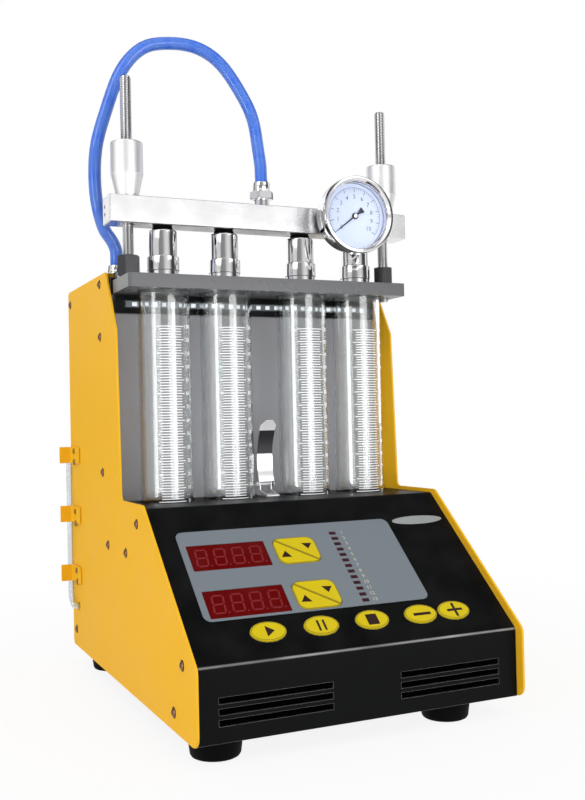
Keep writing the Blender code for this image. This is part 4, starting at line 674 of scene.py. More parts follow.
class Workbench:
    """Models pieces as by hand, and leaves each finished one at the origin."""

    def __init__(self) -> None:
        """Make every finish."""
        self.finishes = {finish.name: finish.make() for finish in FINISHES}
        self.clear = {finish.name for finish in FINISHES if isinstance(finish, Clear)}

    def free(self) -> None:
        """Leave edit mode, with nothing selected."""
        if bpy.context.mode != "OBJECT":
            bpy.ops.object.mode_set(mode="OBJECT")
        bpy.ops.object.select_all(action="DESELECT")

    def pick(self, thing: Thing) -> None:
        """Select one piece alone.

        Args:
            thing: The piece.
        """
        self.free()
        thing.select_set(True)
        bpy.context.view_layer.objects.active = thing

    def edit(self, thing: Thing) -> None:
        """Open a piece in edit mode, with all of it selected.

        Args:
            thing: The piece.
        """
        self.pick(thing)
        bpy.ops.object.mode_set(mode="EDIT")
        bpy.ops.mesh.select_all(action="SELECT")

    def done(self, name: str) -> Thing:
        """Leave edit mode and name the piece.

        Args:
            name: The piece's name.

        Returns:
            The piece.
        """
        thing = bpy.context.object
        self.free()
        thing.name = name
        return thing

    def sealed(self, name: str, merge: bool = False, fill: bool = False) -> Thing:
        """Close the mesh that is in edit mode, turn its faces outwards and name it.

        Args:
            name: The piece's name.
            merge: Whether its doubles are merged.
            fill: Whether its four-sided ends are filled.

        Returns:
            The piece.
        """
        bpy.ops.mesh.select_all(action="SELECT")
        if merge:
            bpy.ops.mesh.remove_doubles(threshold=MERGE)
        if fill:
            bpy.ops.mesh.fill_holes(sides=4)
            bpy.ops.mesh.select_all(action="SELECT")
        bpy.ops.mesh.normals_make_consistent(inside=False)
        return self.done(name)

    def draw(self, points: Sequence[Point]) -> None:
        """Start a mesh and extrude one corner along a line.

        Args:
            points: The line's corners.
        """
        self.free()
        bpy.ops.mesh.primitive_plane_add(size=0.01, enter_editmode=True)
        bpy.ops.mesh.merge(type="CENTER")
        bpy.ops.transform.translate(value=points[0])
        for start, end in pairwise(points):
            self.extrude(*(b - a for a, b in zip(start, end)))
        bpy.ops.mesh.select_all(action="SELECT")

    def extrude(self, x: float, y: float, z: float) -> None:
        """Extrude what is selected by this much."""
        bpy.ops.mesh.extrude_region_move(TRANSFORM_OT_translate={"value": (x, y, z)})

    def turned(
        self,
        name: str,
        profile: Sequence[Flat],
        sides: int = 64,
        angle: float = FULL_TURN,
        first: float = 0.0,
    ) -> Thing:
        """Turn a profile about Z.

        Args:
            name: The piece's name.
            profile: Its (radius, height) corners; one that ends where it starts is a ring.
            sides: How many steps there are in the turn.
            angle: How far it turns.
            first: Where it starts.

        Returns:
            The piece.
        """
        ahead = (math.cos(first), math.sin(first))
        self.draw([(radius * ahead[0], radius * ahead[1], height) for radius, height in profile])
        bpy.ops.mesh.spin(steps=sides, angle=angle, center=(0, 0, 0), axis=(0, 0, 1))
        return self.sealed(name, merge=True, fill=angle != FULL_TURN)

    def slab(self, name: str, outline: Sequence[Flat], low: float, high: float) -> Thing:
        """Extrude a flat outline.

        Args:
            name: The piece's name.
            outline: Its (x, y) corners.
            low: Height of its lower face.
            high: Height of its upper face.

        Returns:
            The piece.
        """
        self.draw([(x, y, low) for x, y in outline])
        bpy.ops.mesh.edge_face_add()
        self.extrude(0, 0, high - low)
        return self.sealed(name)

    def disc(self, name: str, size: Flat, low: float, high: float, sides: int = 48) -> Thing:
        """Extrude a circle or an oval.

        Args:
            name: The piece's name.
            size: Its width and depth.
            low: Height of its lower face.
            high: Height of its upper face.
            sides: How many sides it has.

        Returns:
            The piece.
        """
        self.free()
        bpy.ops.mesh.primitive_circle_add(
            vertices=sides, radius=0.5, fill_type="NGON", location=(0, 0, low), enter_editmode=True
        )
        bpy.ops.transform.resize(value=(size[0], size[1], 1), center_override=(0, 0, low))
        self.extrude(0, 0, high - low)
        return self.placed(self.sealed(name), moved(0.0, 0.0, low))

    def block(self, name: str, size: Point, centre: Point, edge: float, steps: int = 2) -> Thing:
        """Make a block with rounded edges.

        Args:
            name: The piece's name.
            size: Its size.
            centre: Its middle.
            edge: How wide its edges are rounded.
            steps: In how many steps.

        Returns:
            The piece.
        """
        self.free()
        bpy.ops.mesh.primitive_cube_add(size=1, location=centre, enter_editmode=True)
        bpy.ops.transform.resize(value=size, center_override=centre)
        bpy.ops.mesh.bevel(offset=edge, segments=steps, affect="EDGES")
        return self.placed(self.done(name), Matrix.Translation(centre))

    def pipe(
        self, name: str, line: Sequence[Vector], radius: float, steps: int, caps: bool
    ) -> Thing:
        """Draw a round pipe along a line.

        Args:
            name: The piece's name.
            line: Its middle line.
            radius: Its outer radius.
            steps: The resolution of its round.
            caps: Whether its ends are closed.

        Returns:
            The piece, as a mesh.
        """
        curve = bpy.data.curves.new(f"{name}_line", "CURVE")
        curve.dimensions = "3D"
        curve.bevel_depth = radius
        curve.bevel_resolution = steps
        curve.use_fill_caps = caps
        spline = curve.splines.new("POLY")
        spline.points.add(len(line) - 1)
        for point, place in zip(spline.points, line):
            point.co = (*place, 1.0)
        self.pick(linked(name, curve))
        bpy.ops.object.convert(target="MESH")
        return self.done(name)

    def words(self, name: str, text: str, height: float, place: Matrix) -> Thing:
        """Print plain figures, centred on a place.

        Args:
            name: The piece's name.
            text: The figures.
            height: Their height.
            place: Where they stand, and how they are turned.

        Returns:
            The print, as a mesh.
        """
        self.free()
        bpy.ops.object.text_add()
        letters = bpy.context.object.data
        letters.body = text
        letters.size = height / CAP_HEIGHT
        letters.align_x = "CENTER"
        letters.align_y = "CENTER"
        letters.resolution_u = 2
        letters.extrude = INK / 2
        bpy.ops.object.convert(target="MESH")
        return self.placed(self.done(name), place)

    def worked(self, node: str, edge: float, steps: int = 2) -> Thing:
        """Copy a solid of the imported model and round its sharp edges.

        Args:
            node: The solid's node.
            edge: How wide its edges are rounded.
            steps: In how many steps.

        Returns:
            The new piece.
        """
        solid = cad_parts[node]
        thing = linked(f"{node}_dressed", solid.data.copy())
        thing.data.materials.clear()
        self.edit(self.placed(thing, solid.matrix_world.copy()))
        bpy.ops.mesh.remove_doubles(threshold=2 * MERGE)
        bpy.ops.mesh.dissolve_limited(angle_limit=math.radians(0.5))
        self.free()
        bevel = thing.modifiers.new("edge", "BEVEL")
        bevel.width = edge
        bevel.segments = steps
        bevel.limit_method = "ANGLE"
        bevel.angle_limit = SHARP_ANGLE
        return self.apply(thing, bevel)

    def apply(self, thing: Thing, modifier: bpy.types.Modifier) -> Thing:
        """Apply a modifier.

        Args:
            thing: The piece.
            modifier: Its modifier.

        Returns:
            The piece.
        """
        self.pick(thing)
        bpy.ops.object.modifier_apply(modifier=modifier.name)
        return thing

    def row(self, thing: Thing, count: int, step: Point) -> Thing:
        """Repeat a piece in a row.

        Args:
            thing: The piece.
            count: How many there are.
            step: From one to the next.

        Returns:
            The row.
        """
        array = thing.modifiers.new("row", "ARRAY")
        array.use_relative_offset = False
        array.use_constant_offset = True
        array.constant_offset_displace = step
        array.count = count
        return self.apply(thing, array)

    def cut(self, thing: Thing, tools: Iterable[Thing], operation: str = "DIFFERENCE") -> Thing:
        """Cut tools from a piece, or join them to it, and take the tools away.

        Args:
            thing: The piece.
            tools: The tools.
            operation: The Boolean's operation.

        Returns:
            The piece.
        """
        for tool in tools:
            boolean = thing.modifiers.new("cut", "BOOLEAN")
            boolean.operation = operation
            boolean.object = tool
            self.apply(thing, boolean)
            self.discard(tool)
        return thing

    def discard(self, *things: Thing) -> None:
        """Take pieces away."""
        for thing in things:
            bpy.data.objects.remove(thing, do_unlink=True)

    def joined(self, name: str, things: Sequence[Thing]) -> Thing:
        """Join pieces into one object.

        Args:
            name: The new piece's name.
            things: What it is made of.

        Returns:
            The piece.
        """
        self.pick(things[0])
        for thing in things:
            thing.select_set(True)
        if len(things) > 1:
            bpy.ops.object.join()
        return self.done(name)

    def copied(self, thing: Thing, name: str, place: Matrix) -> Thing:
        """Copy a piece, with a mesh of its own, to a place."""
        return self.placed(linked(name, thing.data.copy()), place)

    def placed(self, thing: Thing, place: Matrix) -> Thing:
        """Move a piece and take its place into its mesh.

        Args:
            thing: The piece.
            place: Its transform.

        Returns:
            The piece.
        """
        thing.matrix_world = place
        self.pick(thing)
        bpy.ops.object.transform_apply(location=True, rotation=True, scale=True)
        return thing

    def fit(
        self,
        thing: Thing,
        finish: str,
        body: str = "base",
        slot: str | None = None,
        replaces: Sequence[str] = (),
        smooth: float = SMOOTH_ANGLE,
    ) -> Thing:
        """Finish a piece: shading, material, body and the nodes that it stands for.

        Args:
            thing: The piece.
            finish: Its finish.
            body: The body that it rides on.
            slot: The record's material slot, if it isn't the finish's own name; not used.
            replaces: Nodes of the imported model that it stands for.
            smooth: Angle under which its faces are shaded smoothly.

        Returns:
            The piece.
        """
        self.placed(thing, thing.matrix_world.copy())
        thing.data.materials.clear()
        thing.data.materials.append(self.finishes[finish])
        thing.visible_shadow = finish not in self.clear
        self.pick(thing)
        bpy.ops.object.shade_smooth_by_angle(angle=smooth)
        if replaces:
            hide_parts(*replaces)
        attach(thing, body)
        log.info("%s rides on %s", thing.name, body)
        return thing

    def flattened(self, thing: Thing) -> Thing:
        """Weight a folded sheet's normals by face size, so that its flats shade flat.

        Args:
            thing: The piece, after fit.

        Returns:
            The piece.
        """
        weighted = thing.modifiers.new("weighted", "WEIGHTED_NORMAL")
        weighted.keep_sharp = True
        return self.apply(thing, weighted)

    def dress(
        self,
        node: str,
        finish: str,
        edge: float,
        body: str = "base",
        slot: str | None = None,
        steps: int = 2,
    ) -> Thing:
        """Stand a worked and finished copy in for a solid, told as worked and fit are."""
        piece = self.fit(self.worked(node, edge, steps), finish, body, slot, [node])
        return self.flattened(piece)

    def lathe(
        self,
        node: str,
        profile: Sequence[Flat],
        sides: int,
        place: Matrix,
        finish: str,
        **fitting: object,
    ) -> Thing:
        """Stand a turned and finished piece in for a solid, told as turned and fit are."""
        piece = self.placed(self.turned(f"{node}_dressed", profile, sides), place)
        return self.fit(piece, finish, replaces=[node], **fitting)


bench = Workbench()


@dataclass
class Lamp:
    """One soft lamp, aimed at the machine."""

    name: str
    place: Point
    size: Flat
    radiance: float
    aim: Point = (0.0, 0.0, 0.28)

    def light(self) -> None:
        """Hang the lamp."""
        data = bpy.data.lights.new(self.name, "AREA")
        data.shape = "RECTANGLE"
        data.size, data.size_y = self.size
        data.energy = self.radiance * math.pi * self.size[0] * self.size[1]
        lamp = linked(self.name, data)
        lamp.visible_camera = False
        lamp.location = self.place
        away = Vector(self.aim) - Vector(self.place)
        lamp.rotation_euler = away.to_track_quat("-Z", "Y").to_euler()


@dataclass
class Studio:
    """The photograph's view, soft lamps, a pale world and a pale floor."""

    place: Point = (-0.3569, -0.8486, 0.2399)
    yaw: float = math.radians(24.54)
    pitch: float = math.radians(1.11)
    roll: float = math.radians(-1.24)
    lens: float = 45.259
    sensor: float = 36.0
    ambient: float = 0.55
    floor_radius: float = 3.0
    floor_z: float = -0.0005
    floor_share: float = 0.88
    floor_fade: Flat = (0.15, 0.75)
    bands: tuple[Flat, ...] = (
        (0.0, 0.7), (0.10, 0.7), (0.12, 0.25), (0.20, 0.3), (0.26, 0.75), (0.315, 0.78),
        (0.35, 0.5), (0.38, 0.06), (0.55, 0.06), (0.58, 0.5), (0.63, 0.5), (0.65, 0.06),
        (0.67, 1.0), (0.70, 1.0), (0.73, 0.05), (0.89, 0.05), (0.93, 0.75),
    )
    lamps: tuple[Lamp, ...] = (
        Lamp("streak_left", (-1.45, -0.62, 0.28), (0.42, 0.53), 5.0),
        Lamp("streak_right", (0.36, -1.50, 0.28), (0.95, 0.53), 4.0),
        Lamp("key_left", (-1.5, -0.75, 1.45), (1.1, 1.0), 2.6),
        Lamp("key_right", (0.9, -1.45, 1.6), (1.1, 1.0), 1.2),
        Lamp("overhead", (-0.5, -0.4, 1.9), (1.2, 1.2), 0.8),
        Lamp("right_fill", (1.7, 0.3, 0.8), (1.2, 1.2), 0.9),
        Lamp("back_fill", (-0.4, 1.9, 1.0), (1.6, 1.2), 1.1),
    )

    def build(self) -> None:
        """Set the view and the light."""
        self.set_camera()
        self.set_world()
        self.lay_floor()
        for lamp in self.lamps:
            lamp.light()
        bpy.context.scene.view_settings.view_transform = "Standard"

    def set_camera(self) -> None:
        """Place the camera where the photograph was taken from."""
        level = math.cos(self.pitch)
        east, north = math.sin(self.yaw), math.cos(self.yaw)
        ahead = Vector((east * level, north * level, math.sin(self.pitch)))
        right = Vector((north, -east, 0.0))
        up = right.cross(ahead)
        across = right * math.cos(self.roll) + up * math.sin(self.roll)
        above = up * math.cos(self.roll) - right * math.sin(self.roll)
        data = bpy.data.cameras.new("view")
        data.lens = self.lens
        data.sensor_width = self.sensor
        data.clip_start = 0.01
        camera = linked("view", data)
        turn = Matrix((across, above, -ahead)).transposed()
        camera.matrix_world = Matrix.Translation(self.place) @ turn.to_4x4()
        bpy.context.scene.camera = camera

    def set_world(self) -> None:
        """Show white to the camera and through glass, and bands of it to polished metal."""
        world = bpy.data.worlds.new("pale_room")
        world.use_nodes = True
        bpy.context.scene.world = world
        recipe = Recipe(world.node_tree)
        path = recipe.node("LightPath").outputs
        direction = recipe.node("TexCoord").outputs["Generated"]
        around = recipe.node("TexGradient", {"gradient_type": "RADIAL"}, Vector=direction)
        band = recipe.ramp(around.outputs["Fac"], self.bands)
        seen = recipe.blend(path["Is Glossy Ray"], (self.ambient,) * 3, band)
        shown = recipe.most(path["Is Camera Ray"], path["Is Transmission Ray"])
        background = world.node_tree.nodes["Background"]
        recipe.fill(background, Color=recipe.blend(shown, seen, WHITE))

    def lay_floor(self) -> None:
        """Lay a pale floor that keeps the machine's shadow and fades to white."""
        bench.free()
        bpy.ops.mesh.primitive_circle_add(
            vertices=96, radius=self.floor_radius, fill_type="NGON", location=(0, 0, self.floor_z)
        )
        floor = bench.done("floor")
        material, recipe, shader = Finish("pale_floor", (0.86, 0.86, 0.86)).start()
        recipe.fill(shader, Roughness=0.6)
        path = recipe.node("LightPath").outputs
        length = recipe.vector("LENGTH", recipe.node("TexCoord").outputs["Object"])
        far = recipe.span(length.outputs["Value"], *self.floor_fade)
        share = recipe.plus(recipe.times(far, 1 - self.floor_share), self.floor_share)
        seen = recipe.most(path["Is Camera Ray"], path["Is Glossy Ray"])
        seen = recipe.most(seen, path["Is Transmission Ray"])
        white = recipe.node("Emission", Color=WHITE)
        inputs = {0: recipe.times(share, seen), 1: shader.outputs[0], 2: white.outputs[0]}
        mixed = recipe.node("MixShader", inputs=inputs)
        recipe.fill(material.node_tree.nodes["Material Output"], Surface=mixed.outputs[0])
        floor.data.materials.append(material)


@dataclass
class FuelHose:
    """Braided hose from the rail's fitting, up and over to the rear cover's fitting."""

    diameter: float = 0.012
    skin: float = 0.0003
    steps: int = 5
    route: tuple[Point, ...] = (
        (0.0, -0.0012, 0.4583),
        (-0.0002, -0.0008, 0.4720),
        (-0.0014, 0.0007, 0.4867),
        (-0.0051, 0.0037, 0.5170),
        (-0.0153, 0.0068, 0.5412),
        (-0.0327, 0.0110, 0.5673),
        (-0.0532, 0.0151, 0.5809),
        (-0.0788, 0.0192, 0.5835),
        (-0.1030, 0.0233, 0.5772),
        (-0.1218, 0.0275, 0.5559),
        (-0.1354, 0.0306, 0.5200),
        (-0.1447, 0.0336, 0.4837),
        (-0.1445, 0.0378, 0.4460),
        (-0.1374, 0.0419, 0.4178),
        (-0.1282, 0.0446, 0.4045),
        (-0.1245, 0.0457, 0.3953),
        (-0.1245, 0.0457, 0.3833),
    )

    def middle_line(self) -> list[Vector]:
        """Give the smooth middle line.

        Returns:
            Its points, from the rail to the cover.
        """
        knots = [Vector(point) + Vector((MIDDLE_X, 0, 0)) for point in self.route]
        line = [knots[0]]
        for before, start, end, after in zip(knots, knots[1:], knots[2:], knots[3:]):
            slope = end - before
            bend = 2 * before - 5 * start + 4 * end - after
            twist = 3 * start - before - 3 * end + after
            for step in range(self.steps):
                t = step / self.steps
                line.append(start + (slope * t + bend * t**2 + twist * t**3) / 2)
        return line + [knots[-2], knots[-1]]

    def build(self) -> None:
        """Make the hose."""
        line = self.middle_line()
        hose = bench.pipe("braided_hose", line, self.diameter / 2 - self.skin, 10, True)
        hose.data.materials.clear()
        hose.data.materials.append(bench.finishes["blue_hose"])
        bench.pick(hose)
        bpy.ops.object.shade_smooth()
        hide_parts("fuel_hose")
        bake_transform(hose)


@dataclass
class Screws:
    """Pan-head screws with a cross recess, each on a dark ring of painted shade."""

    radius: float = 0.0033
    height: float = 0.0018
    slot: Flat = (0.0008, 0.0042)
    # Width of the dark ring round each head: painted shade where the head sits in its hole.
    seat: float = 0.0009

    def model(self) -> Thing:
        """Make one screw head about +Z.

        Returns:
            The head.
        """
        rise = self.height
        shares = ((0.0, 1.0), (0.45, 0.96), (0.8, 0.7), (1.0, 0.2))
        dome = [(self.radius * out, rise * up) for out, up in shares]
        head = bench.turned("screw_head", [*dome, (self.radius, -FIT), (0.0, -FIT)], 32)
        tools = []
        for size in (self.slot, self.slot[::-1]):
            tools.append(bench.block("recess", (*size, rise * 1.2), (0, 0, rise), FIT / 3, 1))
        return bench.cut(head, tools)

    def drive(self, places: Sequence[tuple[str, Matrix]]) -> None:
        """Put a screw in each place.

        Args:
            places: Each screw's name and transform.
        """
        master = self.model()
        # A thin black ring under each head: painted shade round the screw.
        wide = 2 * (self.radius + self.seat)
        ring = bench.disc("seat", (wide, wide), -FIT / 3, FIT / 3, 32)
        shade_rings = []
        for name, place in places:
            bench.fit(bench.copied(master, name, place), "copper_screw", slot="zinc_steel")
            shade_rings.append(bench.copied(ring, f"{name}_seat", place))
        shade_rings = bench.joined(f"seats_of_{places[0][0]}", shade_rings)
        bench.fit(shade_rings, "black_rubber", slot="zinc_steel")
        bench.discard(master, ring)


@dataclass
class BodyShell:
    """Side panels, covers, base plate, feet and the screws that hold them."""

    screw_places: tuple[Flat, ...] = (
        (0.0589, 0.367), (0.183, 0.362), (0.0595, 0.319), (0.0581, 0.1955), (-0.0515, 0.1577),
        (0.0429, 0.1311), (-0.0167, 0.1305), (0.1774, 0.0321), (-0.1635, 0.0673), (-0.1422, 0.0289),
    )
    rear_screw_heights: tuple[float, ...] = (0.030, 0.190, 0.350)
    rear_screw_inset: float = 0.0095
    screen_size: Point = (0.094, 0.0006, 0.0245)
    screen_x: float = 0.0735
    screen_heights: Flat = (0.0368, 0.2918)
    feet: tuple[tuple[str, float, float], ...] = (
        ("foot_front_left", -0.1125, -0.160),
        ("foot_front_right", 0.0825, -0.160),
        ("foot_back_left", -0.1125, 0.133),
        ("foot_back_right", 0.0825, 0.133),
    )

    def build(self) -> None:
        """Make the shell."""
        for side, _ in SIDES:
            bench.dress(f"side_panel_{side}", "yellow_paint", 0.0004)
        for node in ("rear_cover", "base_plate"):
            bench.dress(node, "black_paint", 0.0002)
        self.screen()
        self.fix()
        self.stand()

    def screen(self) -> None:
        """Lay a dark sheet behind each group of vent slots, as painted shade inside the body."""
        inset = SHEET + self.screen_size[1] / 2
        rows = (("front", COVER_Y + inset), ("rear", REAR_PANEL_Y - inset))
        for (row, y), z in zip(rows, self.screen_heights):
            for side, sign in SIDES:
                centre = (MIDDLE_X + sign * self.screen_x, y, z)
                screen = bench.block(f"screen_{row}_{side}", self.screen_size, centre, 0.0001, 1)
                bench.fit(screen, "vent_painted_shade", slot="black_paint")

    def fix(self) -> None:
        """Drive the screws of the side panels and the rear cover."""
        places = []
        for (side, sign), way in zip(SIDES, (Way.LEFT, Way.RIGHT)):
            for number, (y, z) in enumerate(self.screw_places, start=1):
                place = way.at((MIDDLE_X + sign * HALF_WIDTH, y, z))
                places.append((f"screw_{side}_{number}", place))
        for side, sign in SIDES:
            x = MIDDLE_X + sign * (HALF_WIDTH - self.rear_screw_inset)
            for number, z in enumerate(self.rear_screw_heights, start=1):
                places.append((f"screw_rear_{side}_{number}", Way.BACK.at((x, REAR_PANEL_Y, z))))
        Screws().drive(places)

    def stand(self) -> None:
        """Set the feet under it, each with the well of its screw."""
        top = BOTTOM_Z - FIT
        profile = (
            (0.0, top), (0.0192, top), (0.020, top - 0.0006), (0.020, top - 0.0018),
            (0.0186, 0.0022), (0.0176, 0.0006), (0.0165, 0.0), (0.0062, 0.0), (0.0058, 0.0035),
            (0.0, 0.0035),
        )
        for name, x, y in self.feet:
            bench.lathe(name, profile, 64, moved(MIDDLE_X + x, y, 0.0), "black_rubber")


@dataclass
class ControlPanel:
    """Folded cover with its label, displays, lamps and keys."""

    display_x: float = -0.079
    display_heights: tuple[float, ...] = (0.054, 0.1007)
    digit_pitch: float = 0.0152
    digit_size: Flat = (0.0088, 0.0166)
    digit_rise: float = 0.0005
    stroke: float = 0.0016
    digit_lean: float = 0.1
    lamp_x: float = 0.0175
    lamp_size: Point = (0.006, 0.0032, 0.0006)
    lamp_top: float = 0.1164
    lamp_pitch: float = 0.00608
    lamp_count: int = 13
    number_shift: float = 0.0085
    number_height: float = 0.0034
    sticker_place: Flat = (0.1045, 0.1255)
    sticker_size: Flat = (0.050, 0.0098)
    pair_shift: float = -0.0467
    rim_width: float = 0.0007

    def build(self) -> None:
        """Make the panel."""
        bench.dress("control_cover", "cover_paint_painted_highlight", 0.0002, slot="black_paint")
        bench.dress("control_label", "grey_label", 0.00008, steps=1)
        self.light_digits()
        self.light_lamps()
        self.set_keys()
        sticker = bench.disc("oval_sticker", self.sticker_size, -0.00002, 0.00022, 64)
        bench.placed(sticker, SLOPE @ moved(*self.sticker_place, 0.0))
        bench.fit(sticker, "silver_sticker", slot="grey_label")

    def bar(self, reach: float) -> list[Flat]:
        """Give a pointed stroke along X.

        Args:
            reach: How far its points are from its middle.

        Returns:
            Its outline.
        """
        half = self.stroke / 2
        inner = reach - half
        lower = [(-reach, 0.0), (-inner, -half), (inner, -half)]
        return lower + [(-x, -y) for x, y in lower]

    def segments(self) -> list[list[Flat]]:
        """Give the seven strokes of one digit.

        Returns:
            Their outlines, about the digit's middle.
        """
        width, height = self.digit_size
        gap = self.stroke * 0.2
        strokes = []
        for y in (-height / 2, 0.0, height / 2):
            strokes.append([(a, y + b) for a, b in self.bar(width / 2 - gap)])
        for x in (-width / 2, width / 2):
            for middle in (-height / 4, height / 4):
                strokes.append([(x - b, middle + a) for a, b in self.bar(height / 4 - gap)])
        return [[(x + self.digit_lean * y, y) for x, y in stroke] for stroke in strokes]

    def light_digits(self) -> None:
        """Put four digits in each window."""
        strokes = [
            bench.slab(f"stroke_{number}", outline, 0.0, INK)
            for number, outline in enumerate(self.segments())
        ]
        width, height = self.digit_size
        dot = bench.disc("dot", (self.stroke, self.stroke), 0.0, INK, 16)
        bench.placed(dot, moved(width * 0.7, -height / 2, 0.0))
        digit = bench.joined("digit", [*strokes, dot])
        for row, level in enumerate(self.display_heights):
            copies = []
            for column in range(4):
                x = self.display_x + self.digit_pitch * (column - 1.5)
                place = SLOPE @ moved(x, level, self.digit_rise)
                copies.append(bench.copied(digit, f"digit_{row}_{column}", place))
            figures = bench.joined(f"display_figures_{row + 1}", copies)
            bench.fit(figures, "display_segment", slot="red_display")
        bench.discard(digit)

    def light_lamps(self) -> None:
        """Set the column of lamps and number them."""
        for number in range(1, self.lamp_count + 1):
            level = self.lamp_top - self.lamp_pitch * (number - 1)
            centre = (self.lamp_x, level, LABEL_TOP)
            lamp = bench.block(f"lamp_{number}", self.lamp_size, centre, 0.0002)
            bench.fit(bench.placed(lamp, SLOPE), "lamp_lens", slot="red_display")
            place = SLOPE @ moved(self.lamp_x + self.number_shift, level, LABEL_TOP)
            name = f"lamp_number_{number}"
            figure = bench.words(name, str(number), self.number_height, place)
            bench.fit(figure, "pale_ink", slot="grey_label")

    def marks(self) -> dict[str, list[list[Flat]]]:
        """Give the plain symbols on the keys.

        Returns:
            Outlines on the slope, by key.
        """
        up = [(-0.0364, 0.0943), (-0.0275, 0.0937), (-0.0316, 0.1008)]
        down = [(-0.0148, 0.1077), (-0.0106, 0.1011), (-0.0059, 0.1069)]
        lower_up, lower_down = (
            [(x, y + self.pair_shift) for x, y in outline] for outline in (up, down)
        )
        bars = {
            "key_pause": [(-0.0321, 0.0190, -0.0302, 0.0288), (-0.0272, 0.0190, -0.0254, 0.0288)],
            "key_stop": [(0.0099, 0.0189, 0.0194, 0.0290)],
            "key_minus": [(0.0513, 0.0223, 0.0668, 0.0250)],
            "key_plus": [
                (0.0826, 0.0230, 0.0966, 0.0253),
                (0.08845, 0.0175, 0.09075, 0.0230),
                (0.08845, 0.0253, 0.09075, 0.0308),
            ],
        }
        outlines = {
            "arrow_key_upper_up": [up],
            "arrow_key_upper_down": [down],
            "arrow_key_lower_up": [lower_up],
            "arrow_key_lower_down": [lower_down],
            "key_start": [[(-0.0739, 0.0193), (-0.0670, 0.0242), (-0.0738, 0.0291)]],
        }
        for key, corners in bars.items():
            outlines[key] = [[(a, b), (c, b), (c, d), (a, d)] for a, b, c, d in corners]
        return outlines

    def rim(self, key: Thing, name: str) -> Thing:
        """Print a thin rim round a key's top.

        Args:
            key: The key.
            name: The rim's name.

        Returns:
            The rim.
        """
        ring = bench.copied(key, name, SLOPE.inverted())
        bpy.context.tool_settings.mesh_select_mode = (False, False, True)
        for polygon in ring.data.polygons:
            polygon.select = polygon.normal.z < 0.99 or polygon.center.z < KEY_TOP - INK
        bpy.ops.object.mode_set(mode="EDIT")
        bpy.ops.mesh.delete(type="FACE")
        bpy.ops.mesh.select_all(action="SELECT")
        bpy.ops.mesh.inset(thickness=self.rim_width)
        bpy.ops.mesh.delete(type="FACE")
        bpy.ops.mesh.select_all(action="SELECT")
        bench.extrude(0, 0, INK)
        bpy.ops.mesh.select_mode(type="VERT")
        return bench.placed(bench.sealed(name), SLOPE)

    def set_keys(self) -> None:
        """Round the keys and print their rims and symbols."""
        for node, outlines in self.marks().items():
            key = bench.worked(node, 0.00015)
            rim = self.rim(key, f"{node}_rim")
            bench.flattened(bench.fit(key, "key_yellow", node, replaces=[node]))
            bench.fit(rim, "key_rim", node, slot="key_yellow")
            prints = [
                bench.slab(f"{node}_mark_{index}", outline, KEY_TOP - INK / 2, KEY_TOP + INK)
                for index, outline in enumerate(outlines)
            ]
            mark = bench.placed(bench.joined(f"{node}_mark", prints), SLOPE)
            bench.fit(mark, "key_mark", node, slot="key_yellow")


